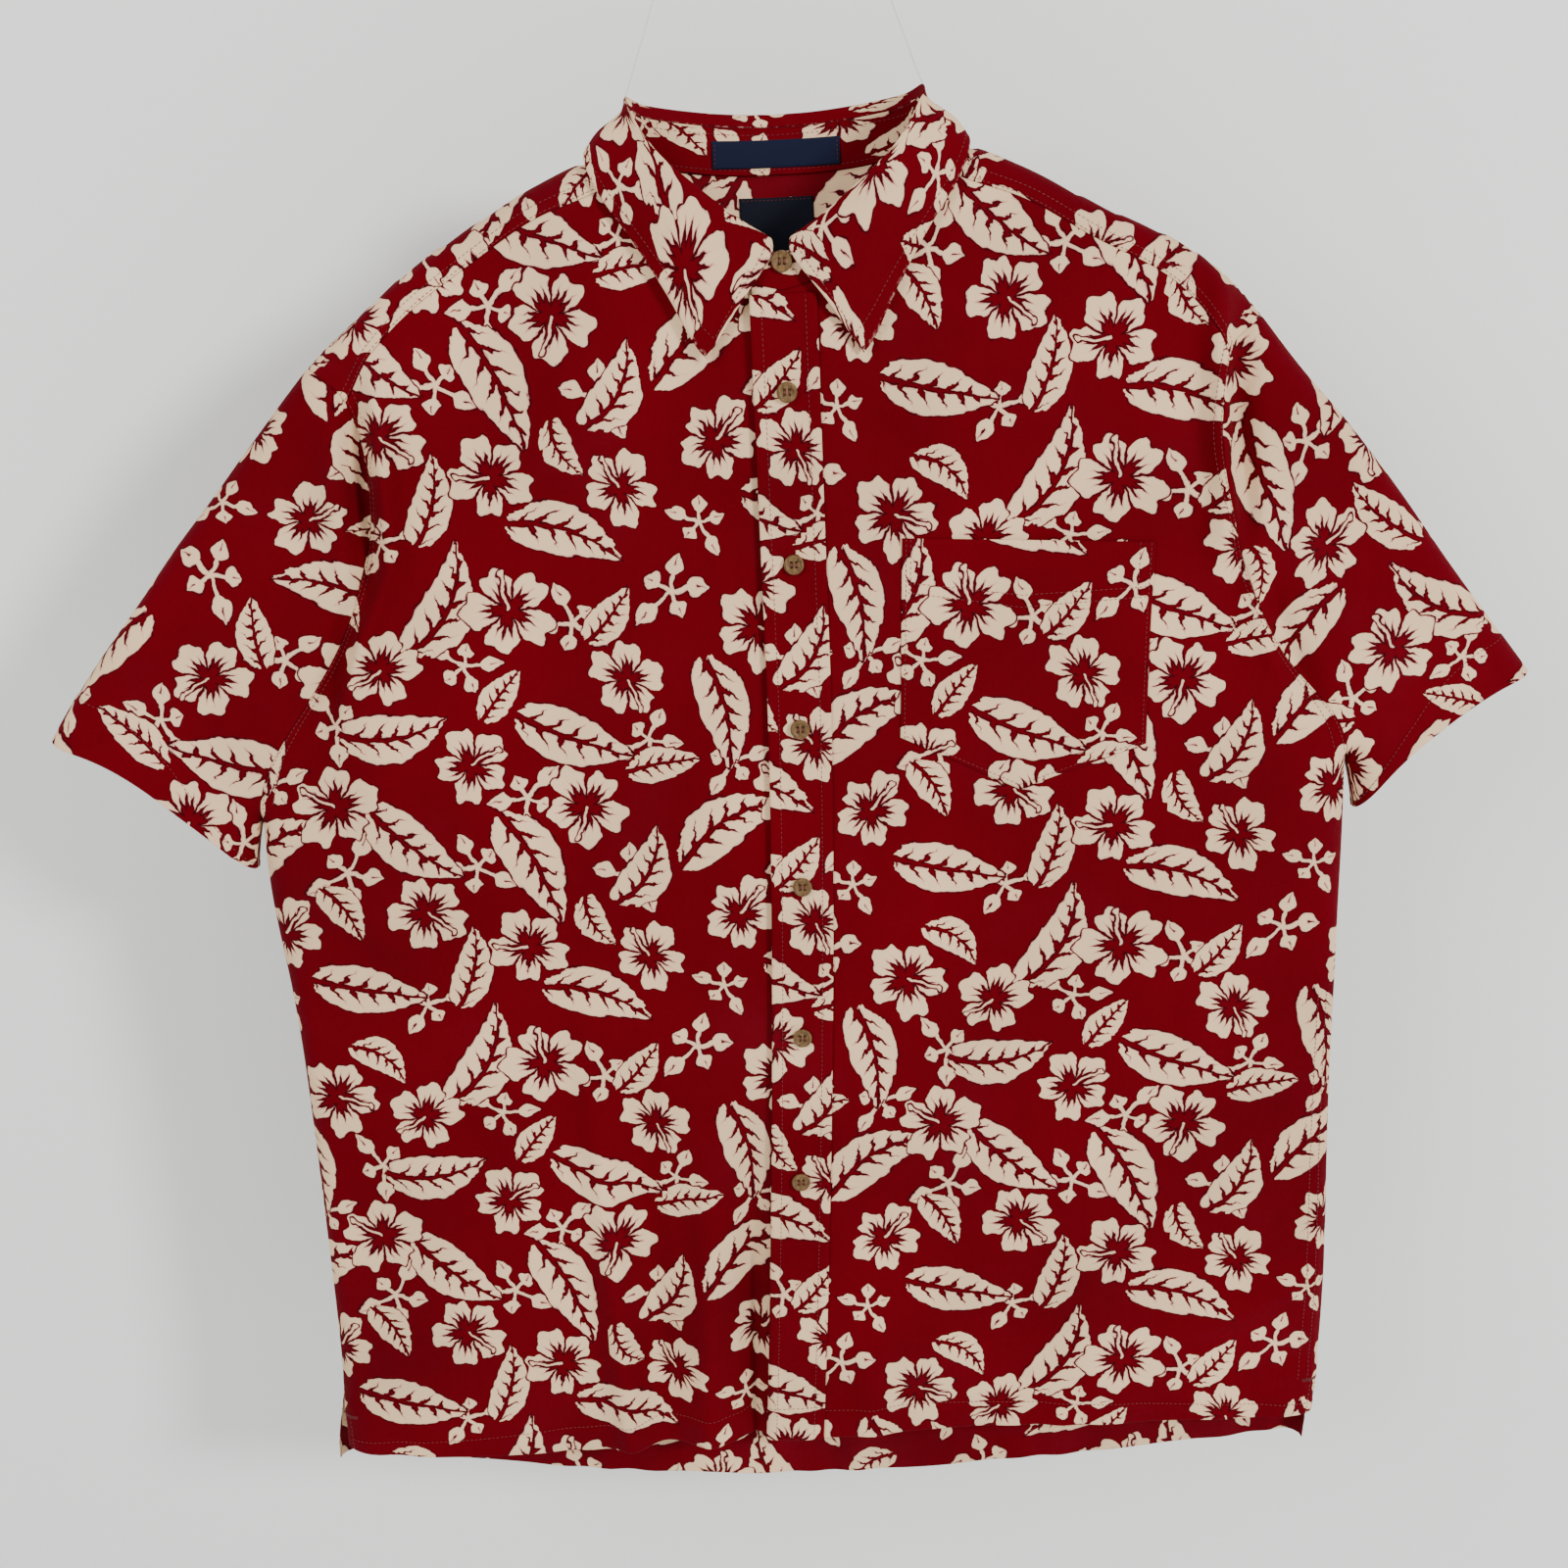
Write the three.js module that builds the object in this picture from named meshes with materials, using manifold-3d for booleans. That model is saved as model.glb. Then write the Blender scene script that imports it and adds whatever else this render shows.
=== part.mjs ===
// A short-sleeved button-front shirt of printed cotton, hung flat by two thin lines at its collar's peaks.
// Millimetres. +X is to the viewer's right, +Z is up and the buttoned front faces -Y.
// The origin is the hanging point, midway between the loops at the upper ends of the two lines.
// "drop" is the distance below the origin. One half of the shirt is stated, and the other half mirrors it.
import * as THREE from 'three';
import Module from 'manifold-3d';
import { mergeVertices } from 'three/addons/utils/BufferGeometryUtils.js';

const wasm = await Module();
wasm.setup();

// Cloth
const CLOTH = 1.2;
const DOUBLE_CLOTH = 1.5;
const GAP = 0.3;
const SEAM = 0.25;

// Body
const HALF_DEPTH = 12.5;
const FOLD_RADIUS = 14;
const UNDERARM = [320, 445];
const FRONT_HEM = { drop: 873, side: 309, rise: 3 };
const BACK_HEM = 916;
const BACK_YOKE_SEAM = 196;
const VENT_TOP = 829;
const VENT_OPENING = 2.4;
const FRONT_NECK_BULGE = { rise: 13, drop: 150, width: 70, height: 75 };
const BACK_NECK_BULGE = { rise: 22, drop: 92, width: 82, height: 60 };

// Front closure
const PLACKET_WIDTH = 37;
const PLACKET_TOP = 166.4;
const LEAN = { from: 380, over: 490, across: -22 };
const OVERLAP_LIFT = 2.2;
const BUTTON_DIAMETER = 11.4;
const BUTTON_THICKNESS = 2.5;
const BUTTON_PITCH = 95;
const FIRST_BUTTON = 218;
const BUTTON_COUNT = 6;
const COLLAR_BUTTON = 150;

// Collar
const ROLL_RISE = 7;
const ROLL_RADIUS = 2;
const LEAF_CLEARANCE = 4.6;
const LEAF_BELLY = 3.2;

// Hanging lines
const LINE_DIAMETER = 0.7;
const PEAK = { x: 80.7, drop: 58.1 };
const LOOP_X = 60;
const LOOP_RADIUS = 3;

const spline = (rows) => new THREE.SplineCurve(rows.map(([x, drop]) => new THREE.Vector2(x, drop)));
const part = (from, to, count) => (
  Array.from({ length: count + 1 }, (_, i) => from + (to - from) * i / count));
const clamp01 = (value) => Math.min(Math.max(value, 0), 1);
const smooth = (value) => clamp01(value) ** 2 * (3 - 2 * clamp01(value));

// Outlines of one half, as rows of [x, drop]. The fold over the shoulder runs on along the sleeve's top.
const TOP_FOLD = spline([
  [84, 89], [110, 95], [136, 106], [173, 125], [205, 143], [235, 166], [267, 193],
  [303, 234], [330, 268], [355, 298], [380, 331], [404, 363], [428, 395],
]);
const TOP_FOLD_AT_ARMHOLE = 6 / 12;
const SIDE = [UNDERARM, [318, 490], [315, 550], [313, 640], [312, 750], [311, 830]];
const SIDE_FOLD = spline([...SIDE, [FRONT_HEM.side, FRONT_HEM.drop - FRONT_HEM.rise]]);
const BACK_SIDE = spline([...SIDE, [308, 900]]);
const UNDERARM_FOLD = spline([UNDERARM, [323, 460], [325, 477]]);
const ARMHOLE_FRONT = spline([
  [267, 193], [255, 202], [246, 213], [241, 235], [239, 262], [242, 292],
  [252, 325], [266, 353], [283, 379], [300, 401], [313, 421], UNDERARM,
]);
const YOKE_ON_ARMHOLE_FRONT = 2 / 11;
const ARMHOLE_BACK = spline([
  [267, 193], [258, 203], [252, 215], [247, 245], [247, 285],
  [255, 325], [269, 359], [287, 388], [304, 411], UNDERARM,
]);
const YOKE_ON_ARMHOLE_BACK = 2 / 9;
const CUFF_FRONT = spline([[428, 395], [407, 407], [388, 421], [371, 435], [350, 453], [325, 477]]);
const CUFF_BACK = spline([[428, 395], [409, 410], [391, 426], [373, 441], [352, 459], [325, 477]]);
const YOKE_SEAM_FRONT = spline([
  [78, 102], [105, 113], [135, 124], [167, 142], [202, 164], [229, 188], [246, 213],
]);
const YOKE_SEAM_BACK = spline([[252, 215], [190, 206], [120, 200], [60, 197], [0, BACK_YOKE_SEAM]]);
const HEM_BACK = spline([[308, 900], [240, 906], [150, 911], [70, 915], [0, BACK_HEM]]);

// The neck seam and the collar, as stations from the centre front over the shoulder to the centre back.
// neck is the seam on the body, fold the top of the roll and edge the free edge of the leaf.
const COLLAR = [
  { neck: [0, 165], fold: [4.5, 138, -27], edge: [43, 199] },
  { neck: [24, 158], fold: [22, 127, -28], edge: [50, 190] },
  { neck: [48, 143], fold: [44, 109, -26], edge: [64, 163] },
  { neck: [65, 124], fold: [62, 92, -21], edge: [80, 137] },
  { neck: [78, 102], fold: [73, 75, -13], edge: [97, 112] },
  { neck: [84, 89], fold: [79, 58.5, 0], edge: [104, 93.6] },
  { neck: [74, 92], fold: [71, 60, 14], edge: [88, 101] },
  { neck: [50, 95.5], fold: [46, 62, 28], edge: [60, 104] },
  { neck: [24, 97], fold: [21, 63.5, 34], edge: [28, 107] },
  { neck: [0, 97], fold: [0, 64, 35], edge: [0, 108] },
];
const YOKE_STATION = 4;
const SHOULDER_STATION = 5;
const LAST_STATION = COLLAR.length - 1;
const NECK_BACK = spline(COLLAR.slice(YOKE_STATION).map((row) => row.neck));

// The collar's curves. A station between two rows of the table is read from a curve through them all, and a
// station below 0 is past the centre front, on the other half.
const throughStations = (points) => new THREE.CatmullRomCurve3(points, false, 'centripetal');
const NECK_RING = spline(COLLAR.map((row) => row.neck));
const FOLD_RING = throughStations(COLLAR.map(({ fold: [x, drop, y] }) => new THREE.Vector3(x, y, -drop)));
const LEAF_EDGE = spline(COLLAR.map((row) => row.edge));
const RING_HALVES = { width: 86, depth: 36 };

function ringPoint(curve, station) {
  const p = curve.getPoint(Math.min(Math.abs(station) / LAST_STATION, 1));
  p.x *= station < 0 ? -1 : 1;
  return p;
}

// The largest folds. side is -1 on the front and 1 on the back; a fold runs straight from top to bottom.
const FOLDS = [
  { side: -1, top: [-228, 186], bottom: [-224, 330], width: 9, rise: 7 },
  { side: -1, top: [-243, 190], bottom: [-241, 335], width: 8, rise: -6 },
  { side: -1, top: [-255, 215], bottom: [-249, 320], width: 9, rise: 4 },
  { side: -1, top: [-222, 285], bottom: [-268, 400], width: 14, rise: 3.5 },
  { side: -1, top: [241, 165], bottom: [238, 315], width: 9, rise: 7 },
  { side: -1, top: [256, 185], bottom: [247, 330], width: 7, rise: -6.5 },
  { side: -1, top: [262, 330], bottom: [306, 425], width: 11, rise: -3.5 },
  { side: -1, top: [-148, 560], bottom: [-128, 930], width: 17, rise: 4.5 },
  { side: -1, top: [-50, 640], bottom: [-57, 960], width: 10, rise: -6 },
  { side: -1, top: [-72, 650], bottom: [-84, 960], width: 13, rise: 5 },
  { side: -1, top: [24, 760], bottom: [30, 940], width: 12, rise: 3 },
  { side: -1, top: [150, 640], bottom: [170, 930], width: 26, rise: 2.5 },
  { side: 1, top: [-236, 200], bottom: [-226, 380], width: 14, rise: 5 },
  { side: 1, top: [240, 200], bottom: [232, 360], width: 12, rise: 5 },
  { side: 1, top: [-110, 300], bottom: [-130, 900], width: 24, rise: 3.5 },
  { side: 1, top: [90, 260], bottom: [120, 930], width: 28, rise: 4 },
  { side: 1, top: [10, 520], bottom: [-10, 960], width: 20, rise: 3 },
];

// How the shirt hangs out of true: round each place it is drawn out from the centre or down.
const DRAWN = [
  { x: -130, drop: 100, width: 60, out: 0, down: -2.5 },
  { x: 130, drop: 100, width: 60, out: 0, down: -2.5 },
  { x: -345, drop: 290, width: 60, out: 2, down: -3 },
  { x: -410, drop: 365, width: 60, out: 7, down: -4 },
  { x: -435, drop: 400, width: 35, out: 7, down: 5 },
  { x: -360, drop: 450, width: 60, out: 0, down: 7 },
  { x: -325, drop: 500, width: 60, out: 4, down: 0 },
  { x: 242, drop: 165, width: 48, out: 0, down: -11 },
  { x: 258, drop: 300, width: 40, out: 8, down: 0 },
  { x: 330, drop: 262, width: 50, out: 0, down: -5 },
  { x: 360, drop: 450, width: 60, out: 0, down: -7 },
  { x: 320, drop: 560, width: 120, out: 6, down: 0 },
  { x: 318, drop: 780, width: 140, out: 9, down: 0 },
];

function drawn(x, drop) {
  const place = { x, drop };
  for (const row of DRAWN) {
    const share = Math.exp(-((x - row.x) ** 2 + (drop - row.drop) ** 2) / row.width ** 2);
    place.x += share * row.out * Math.sign(row.x);
    place.drop += share * row.down;
  }
  return place;
}

// Folded edges that the front and back layers share, as straight pieces between close points.
const FOLD_LINES = [TOP_FOLD.getPoints(72), SIDE_FOLD.getPoints(24), UNDERARM_FOLD.getPoints(6)];
const BACK_FOLD_LINES = [FOLD_LINES[0], BACK_SIDE.getPoints(24), FOLD_LINES[2]];

function nearestOn(points, x, drop) {
  let best = { distance: Infinity };
  for (let i = 0; i + 1 < points.length; i += 1) {
    const [a, b] = [points[i], points[i + 1]];
    const along = new THREE.Vector2().subVectors(b, a);
    const t = clamp01(((x - a.x) * along.x + (drop - a.y) * along.y) / along.lengthSq());
    const foot = new THREE.Vector2().copy(a).addScaledVector(along, t);
    const distance = Math.hypot(x - foot.x, drop - foot.y);
    if (distance < best.distance) {
      best = { distance, foot, up: new THREE.Vector2(along.y, -along.x).normalize() };
    }
  }
  return best;
}

const bulge = (shape, x, drop) => (
  shape.rise * Math.exp(-((x / shape.width) ** 2) - ((drop - shape.drop) / shape.height) ** 2));

function foldHeight(x, drop, side) {
  let height = 0;
  for (const fold of FOLDS) {
    if (fold.side === side) {
      const t = (drop - fold.top[1]) / (fold.bottom[1] - fold.top[1]);
      const centre = fold.top[0] + (fold.bottom[0] - fold.top[0]) * t;
      const ends = t > 0 && t < 1 ? Math.sin(Math.PI * t) : 0;
      height += fold.rise * ends * Math.exp(-(((x - centre) / fold.width) ** 2));
    }
  }
  return height;
}

// How far the cloth stands from the middle plane: rounded in at the folded edges, full between them.
function depthAt(x, drop, side) {
  const lines = side < 0 ? FOLD_LINES : BACK_FOLD_LINES;
  const edge = Math.min(...lines.map((line) => nearestOn(line, Math.abs(x), drop).distance));
  const round = Math.sqrt(1 - (1 - clamp01(edge / FOLD_RADIUS)) ** 2);
  const neck = bulge(side < 0 ? FRONT_NECK_BULGE : BACK_NECK_BULGE, x, drop);
  const apart = SEAM + VENT_OPENING * smooth((drop - VENT_TOP) / 12) * smooth((Math.abs(x) - 250) / 50);
  return apart + (HALF_DEPTH + neck + foldHeight(x, drop, side) - SEAM) * round;
}

function onLayer(x, drop, side, out = 0) {
  const place = drawn(x, drop);
  return new THREE.Vector3(place.x, side * (depthAt(x, drop, side) + out), -place.drop);
}

// A point held clear of the layer, straight out from it, also where the cloth turns over the shoulder.
function clearOf(x, drop, side, clearance) {
  const { distance, up } = nearestOn(FOLD_LINES[0], x, drop);
  const turn = 1 - clamp01(distance / FOLD_RADIUS);
  const out = new THREE.Vector3(turn * up.x, side * Math.sqrt(1 - turn * turn), -turn * up.y);
  return onLayer(x, drop, side).addScaledVector(out, clearance);
}

const leanAt = (drop) => LEAN.across * clamp01((drop - LEAN.from) / LEAN.over) ** 1.5;
// The over-lapping front rises over the under-lapping one near the centre.
const overlapLift = (x, drop) => OVERLAP_LIFT * smooth((44 - (x - leanAt(drop))) / 22);
const onRightFront = (x, drop, out = 0) => onLayer(x, drop, -1, overlapLift(x, drop) + out);

// A patch between four edges: top and bottom are read at u, left and right at v.
function patch(top, bottom, left, right) {
  const corners = [top(0), top(1), bottom(0), bottom(1)];
  return (u, v) => {
    const mix = (axis) => (1 - v) * top(u)[axis] + v * bottom(u)[axis]
      + (1 - u) * left(v)[axis] + u * right(v)[axis]
      - (1 - u) * (1 - v) * corners[0][axis] - u * (1 - v) * corners[1][axis]
      - (1 - u) * v * corners[2][axis] - u * v * corners[3][axis];
    return { x: mix('x'), y: mix('y') };
  };
}

// The direction of a line of points at one of them, weighted by how far its neighbours are.
function slope(points, i, closed) {
  const n = points.length;
  const at = (k) => points[closed ? (k + n) % n : k];
  const inside = closed || (i > 0 && i < n - 1);
  const step = i === 0 ? 1 : -1;
  const [a, b] = inside ? [at(i + 1), at(i - 1)] : [at(i + step), at(i + 2 * step)];
  const toA = new THREE.Vector3().subVectors(a, at(i));
  const toB = new THREE.Vector3().subVectors(b, at(i));
  const share = toB.length() / toA.length();
  return toA.multiplyScalar(share).addScaledVector(toB, -1 / share).multiplyScalar(inside ? 1 : step);
}

function signedVolume(geometry) {
  const at = geometry.getAttribute('position');
  const index = geometry.getIndex();
  const [a, b, c] = [new THREE.Vector3(), new THREE.Vector3(), new THREE.Vector3()];
  let volume = 0;
  for (let i = 0; i < index.count; i += 3) {
    a.fromBufferAttribute(at, index.getX(i));
    b.fromBufferAttribute(at, index.getX(i + 1));
    c.fromBufferAttribute(at, index.getX(i + 2));
    volume += a.dot(b.cross(c)) / 6;
  }
  return volume;
}

function closedGeometry(points, triangles) {
  const geometry = new THREE.BufferGeometry().setFromPoints(points);
  geometry.setIndex(triangles);
  if (signedVolume(geometry) < 0) {
    geometry.setIndex(triangles.map((_, i) => triangles[i - (i % 3) + 2 - (i % 3)]));
  }
  geometry.computeVertexNormals();
  return geometry;
}

// A wall of cloth whose outer face is the grid of points. outward tells which way is out at its middle.
function wall(grid, thickness, outward, ring = false) {
  const rows = grid.length;
  const columns = grid[0].length;
  const normals = grid.map((row, i) => row.map((_, j) => {
    const along = slope(row, j, ring);
    const down = slope(grid.map((line) => line[j]), i, false);
    return along.cross(down).normalize();
  }));
  const middle = normals[rows >> 1][columns >> 1];
  const sign = middle.dot(outward) > 0 ? 1 : -1;
  const outer = grid.flat();
  const inner = grid.flatMap((row, i) => row.map((p, j) => (
    p.clone().addScaledVector(normals[i][j], -sign * thickness))));
  const id = (i, j, layer) => layer * rows * columns + i * columns + (j % columns);
  const triangles = [];
  const quad = (a, b, c, d) => triangles.push(a, b, c, a, c, d);
  const lastColumn = ring ? columns : columns - 1;
  for (let i = 0; i < rows - 1; i += 1) {
    for (let j = 0; j < lastColumn; j += 1) {
      quad(id(i, j, 0), id(i, j + 1, 0), id(i + 1, j + 1, 0), id(i + 1, j, 0));
      quad(id(i, j, 1), id(i + 1, j, 1), id(i + 1, j + 1, 1), id(i, j + 1, 1));
    }
    if (!ring) {
      quad(id(i, 0, 0), id(i + 1, 0, 0), id(i + 1, 0, 1), id(i, 0, 1));
      quad(id(i, lastColumn, 0), id(i, lastColumn, 1), id(i + 1, lastColumn, 1), id(i + 1, lastColumn, 0));
    }
  }
  for (let j = 0; j < lastColumn; j += 1) {
    quad(id(0, j, 0), id(0, j, 1), id(0, j + 1, 1), id(0, j + 1, 0));
    quad(id(rows - 1, j, 0), id(rows - 1, j + 1, 0), id(rows - 1, j + 1, 1), id(rows - 1, j, 1));
  }
  return closedGeometry([...outer, ...inner], triangles);
}

// Colours from the photo: red printed with cream reads as a warm red from afar.
const shade = (color, roughness) => new THREE.MeshStandardMaterial({ color, roughness, metalness: 0 });
const PRINTED = shade(0xa8342c, 0.9);
const WOOD = shade(0x8a5a2c, 0.5);
const NAVY = shade(0x1d2440, 0.8);
const CLEAR = shade(0xd8dcdf, 0.25);

const shirt = new THREE.Group();

function add(name, geometry, material) {
  const mesh = new THREE.Mesh(geometry, material);
  mesh.name = name;
  shirt.add(mesh);
  return mesh;
}

// Shared samples, finer where the cloth turns round a folded edge.
const NECK_SHARE = 0.3;
const NECK_REACH = { left: 0.62, right: 0.74 };
const ACROSS_SEAM = [0.3, 0.4, 0.51, 0.62, 0.73, 0.82, 0.89, 0.94, 0.975, 0.992, 1];
const ALONG_FRONT_ARMHOLE = [
  0, 0.012, 0.045, 0.1, YOKE_ON_ARMHOLE_FRONT, 0.26, 0.35, 0.45, 0.55, 0.65, 0.74, 0.83, 0.91, 0.96, 1,
];
const ALONG_BACK_ARMHOLE = [
  0, 0.012, 0.05, 0.12, YOKE_ON_ARMHOLE_BACK, 0.29, 0.37, 0.46, 0.56, 0.66, 0.75, 0.84, 0.91, 0.96, 1,
];
const JUNCTION = 4;
const ARMHOLE_SHARE = 0.36;
const SIDE_STEPS = 10;
// The sloping seams near the armhole are set further apart, so that the square gap stays open.
const WIDE_SEAM = 1.6 * SEAM;

// Fronts: from the neck and yoke seam down to the hem, from the centre edge to the armhole and side fold.
function frontPanel(hand) {
  const over = hand > 0;
  const reach = over ? NECK_REACH.right : NECK_REACH.left;
  const neckStart = ringPoint(NECK_RING, -reach);
  const centreX = (drop) => hand * leanAt(drop) + neckStart.x;
  const hemDrop = (x) => FRONT_HEM.drop - FRONT_HEM.rise * smooth((x - 230) / 80);
  const alongNeck = (share) => (YOKE_STATION + reach) * share / NECK_SHARE - reach;
  const top = (u) => {
    if (u <= NECK_SHARE) {
      const p = ringPoint(NECK_RING, alongNeck(u));
      return { x: p.x, y: p.y + SEAM };
    }
    const p = YOKE_SEAM_FRONT.getPoint((u - NECK_SHARE) / (1 - NECK_SHARE));
    const spread = 1 + 2 * smooth((u - 0.7) * 4);
    return { x: p.x - WIDE_SEAM * smooth((u - 0.9) * 10), y: p.y + SEAM * spread };
  };
  const right = (v) => {
    if (v <= ARMHOLE_SHARE) {
      const down = v / ARMHOLE_SHARE;
      const p = ARMHOLE_FRONT.getPoint(YOKE_ON_ARMHOLE_FRONT + (1 - YOKE_ON_ARMHOLE_FRONT) * down);
      return { x: p.x - WIDE_SEAM, y: p.y + 3 * SEAM * (1 - down) };
    }
    const t = (v - ARMHOLE_SHARE) / (1 - ARMHOLE_SHARE);
    const p = SIDE_FOLD.getPoint(t);
    return { x: p.x - WIDE_SEAM * (1 - t), y: p.y };
  };
  const left = (v) => {
    const drop = v <= ARMHOLE_SHARE
      ? neckStart.y + SEAM + (UNDERARM[1] - neckStart.y - SEAM) * v / ARMHOLE_SHARE
      : UNDERARM[1] + (FRONT_HEM.drop - UNDERARM[1]) * (v - ARMHOLE_SHARE) / (1 - ARMHOLE_SHARE);
    return { x: centreX(drop), y: drop };
  };
  const bottom = (u) => {
    const x = centreX(FRONT_HEM.drop) + (FRONT_HEM.side - centreX(FRONT_HEM.drop)) * u;
    return { x, y: hemDrop(x) };
  };
  const at = patch(top, bottom, left, right);
  const rows = ALONG_FRONT_ARMHOLE.slice(JUNCTION)
    .map((t) => ARMHOLE_SHARE * (t - YOKE_ON_ARMHOLE_FRONT) / (1 - YOKE_ON_ARMHOLE_FRONT));
  rows.push(...part(ARMHOLE_SHARE, 1, SIDE_STEPS).slice(1));
  const acrossNeck = [-reach, -reach / 2, ...part(0, YOKE_STATION, 2 * YOKE_STATION)]
    .map((station) => NECK_SHARE * (station + reach) / (YOKE_STATION + reach));
  const columns = [...acrossNeck, ...ACROSS_SEAM.slice(1)];
  const grid = rows.map((v) => columns.map((u) => {
    const p = at(u, v);
    return over ? onRightFront(p.x, p.y) : onLayer(-p.x, p.y, -1);
  }));
  return wall(grid, CLOTH, new THREE.Vector3(0, -1, 0));
}

const BACK_COLUMNS = [0, 0.15, 0.3, 0.45, 0.6, 0.74, 0.85, 0.92, 0.96, 0.985, 1];

// Back: from the back yoke seam to its longer hem, from side to side.
function backPanel() {
  const halfTop = (t) => {
    const p = YOKE_SEAM_BACK.getPoint(1 - t);
    return { x: Math.max(p.x - SEAM * t, 0), y: p.y + SEAM };
  };
  const halfBottom = (t) => HEM_BACK.getPoint(1 - t);
  const right = (v) => {
    if (v <= ARMHOLE_SHARE) {
      const p = ARMHOLE_BACK.getPoint(YOKE_ON_ARMHOLE_BACK + (1 - YOKE_ON_ARMHOLE_BACK) * v / ARMHOLE_SHARE);
      return { x: p.x - SEAM * (1 + 3 * v), y: p.y + SEAM * (1 - v / ARMHOLE_SHARE) };
    }
    const t = (v - ARMHOLE_SHARE) / (1 - ARMHOLE_SHARE);
    const p = BACK_SIDE.getPoint(t);
    return { x: p.x - SEAM * (1 + 3 * ARMHOLE_SHARE) * (1 - t), y: p.y };
  };
  const middle = (v) => {
    const drop = v <= ARMHOLE_SHARE
      ? BACK_YOKE_SEAM + SEAM + (UNDERARM[1] - BACK_YOKE_SEAM - SEAM) * v / ARMHOLE_SHARE
      : UNDERARM[1] + (BACK_HEM - UNDERARM[1]) * (v - ARMHOLE_SHARE) / (1 - ARMHOLE_SHARE);
    return { x: 0, y: drop };
  };
  const at = patch(halfTop, halfBottom, middle, right);
  const rows = ALONG_BACK_ARMHOLE.slice(JUNCTION)
    .map((t) => ARMHOLE_SHARE * (t - YOKE_ON_ARMHOLE_BACK) / (1 - YOKE_ON_ARMHOLE_BACK));
  rows.push(...part(ARMHOLE_SHARE, 1, SIDE_STEPS).slice(1));
  const half = BACK_COLUMNS.slice(1);
  const columns = [...half.map((t) => -t).reverse(), 0, ...half];
  const grid = rows.map((v) => columns.map((t) => {
    const p = at(Math.abs(t), v);
    return onLayer(Math.sign(t) * p.x, p.y, 1);
  }));
  return wall(grid, CLOTH, new THREE.Vector3(0, 1, 0));
}

// Yoke: laid out flat, its front strips reach past the shoulder fold, and folding turns them to the front.
const shoulderDrop = (x) => {
  const points = FOLD_LINES[0];
  let k = 0;
  while (k < points.length - 2 && points[k + 1].x < x) {
    k += 1;
  }
  const [a, b] = [points[k], points[k + 1]];
  return a.y + (b.y - a.y) * (x - a.x) / (b.x - a.x);
};
const mirrored = (p) => {
  const { foot } = nearestOn(FOLD_LINES[0], p.x, p.y);
  return { x: 2 * foot.x - p.x, y: 2 * foot.y - p.y };
};
const folded = (p, hand) => {
  if (p.y >= shoulderDrop(p.x)) {
    return onLayer(hand * p.x, p.y, 1);
  }
  const q = mirrored(p);
  return onLayer(hand * q.x, q.y, -1);
};

const YOKE_SHARES = [
  { share: 0, seamX: 252 },
  { share: 0.62, seamX: 92 },
  { share: 0.7, seamX: 78 },
  { share: 1, seamX: 0 },
];
const [, NECK_END, SHOULDER_END] = YOKE_SHARES.map((row) => row.share);
const STRIP_SHARE = 0.4;
const YOKE_DOWN = [0, 0.1, 0.2, 0.28, 0.34, 0.38, 0.4, 0.43, 0.5, 0.58, 0.68, 0.84, 1];

// The point of the back yoke seam at a given x, found by halving, because x falls steadily along the seam.
function onBackSeam(x) {
  let [near, far] = [0, 1];
  for (let i = 0; i < 30; i += 1) {
    const t = (near + far) / 2;
    [near, far] = YOKE_SEAM_BACK.getPoint(t).x > x ? [t, far] : [near, t];
  }
  return YOKE_SEAM_BACK.getPoint(near);
}

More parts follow.
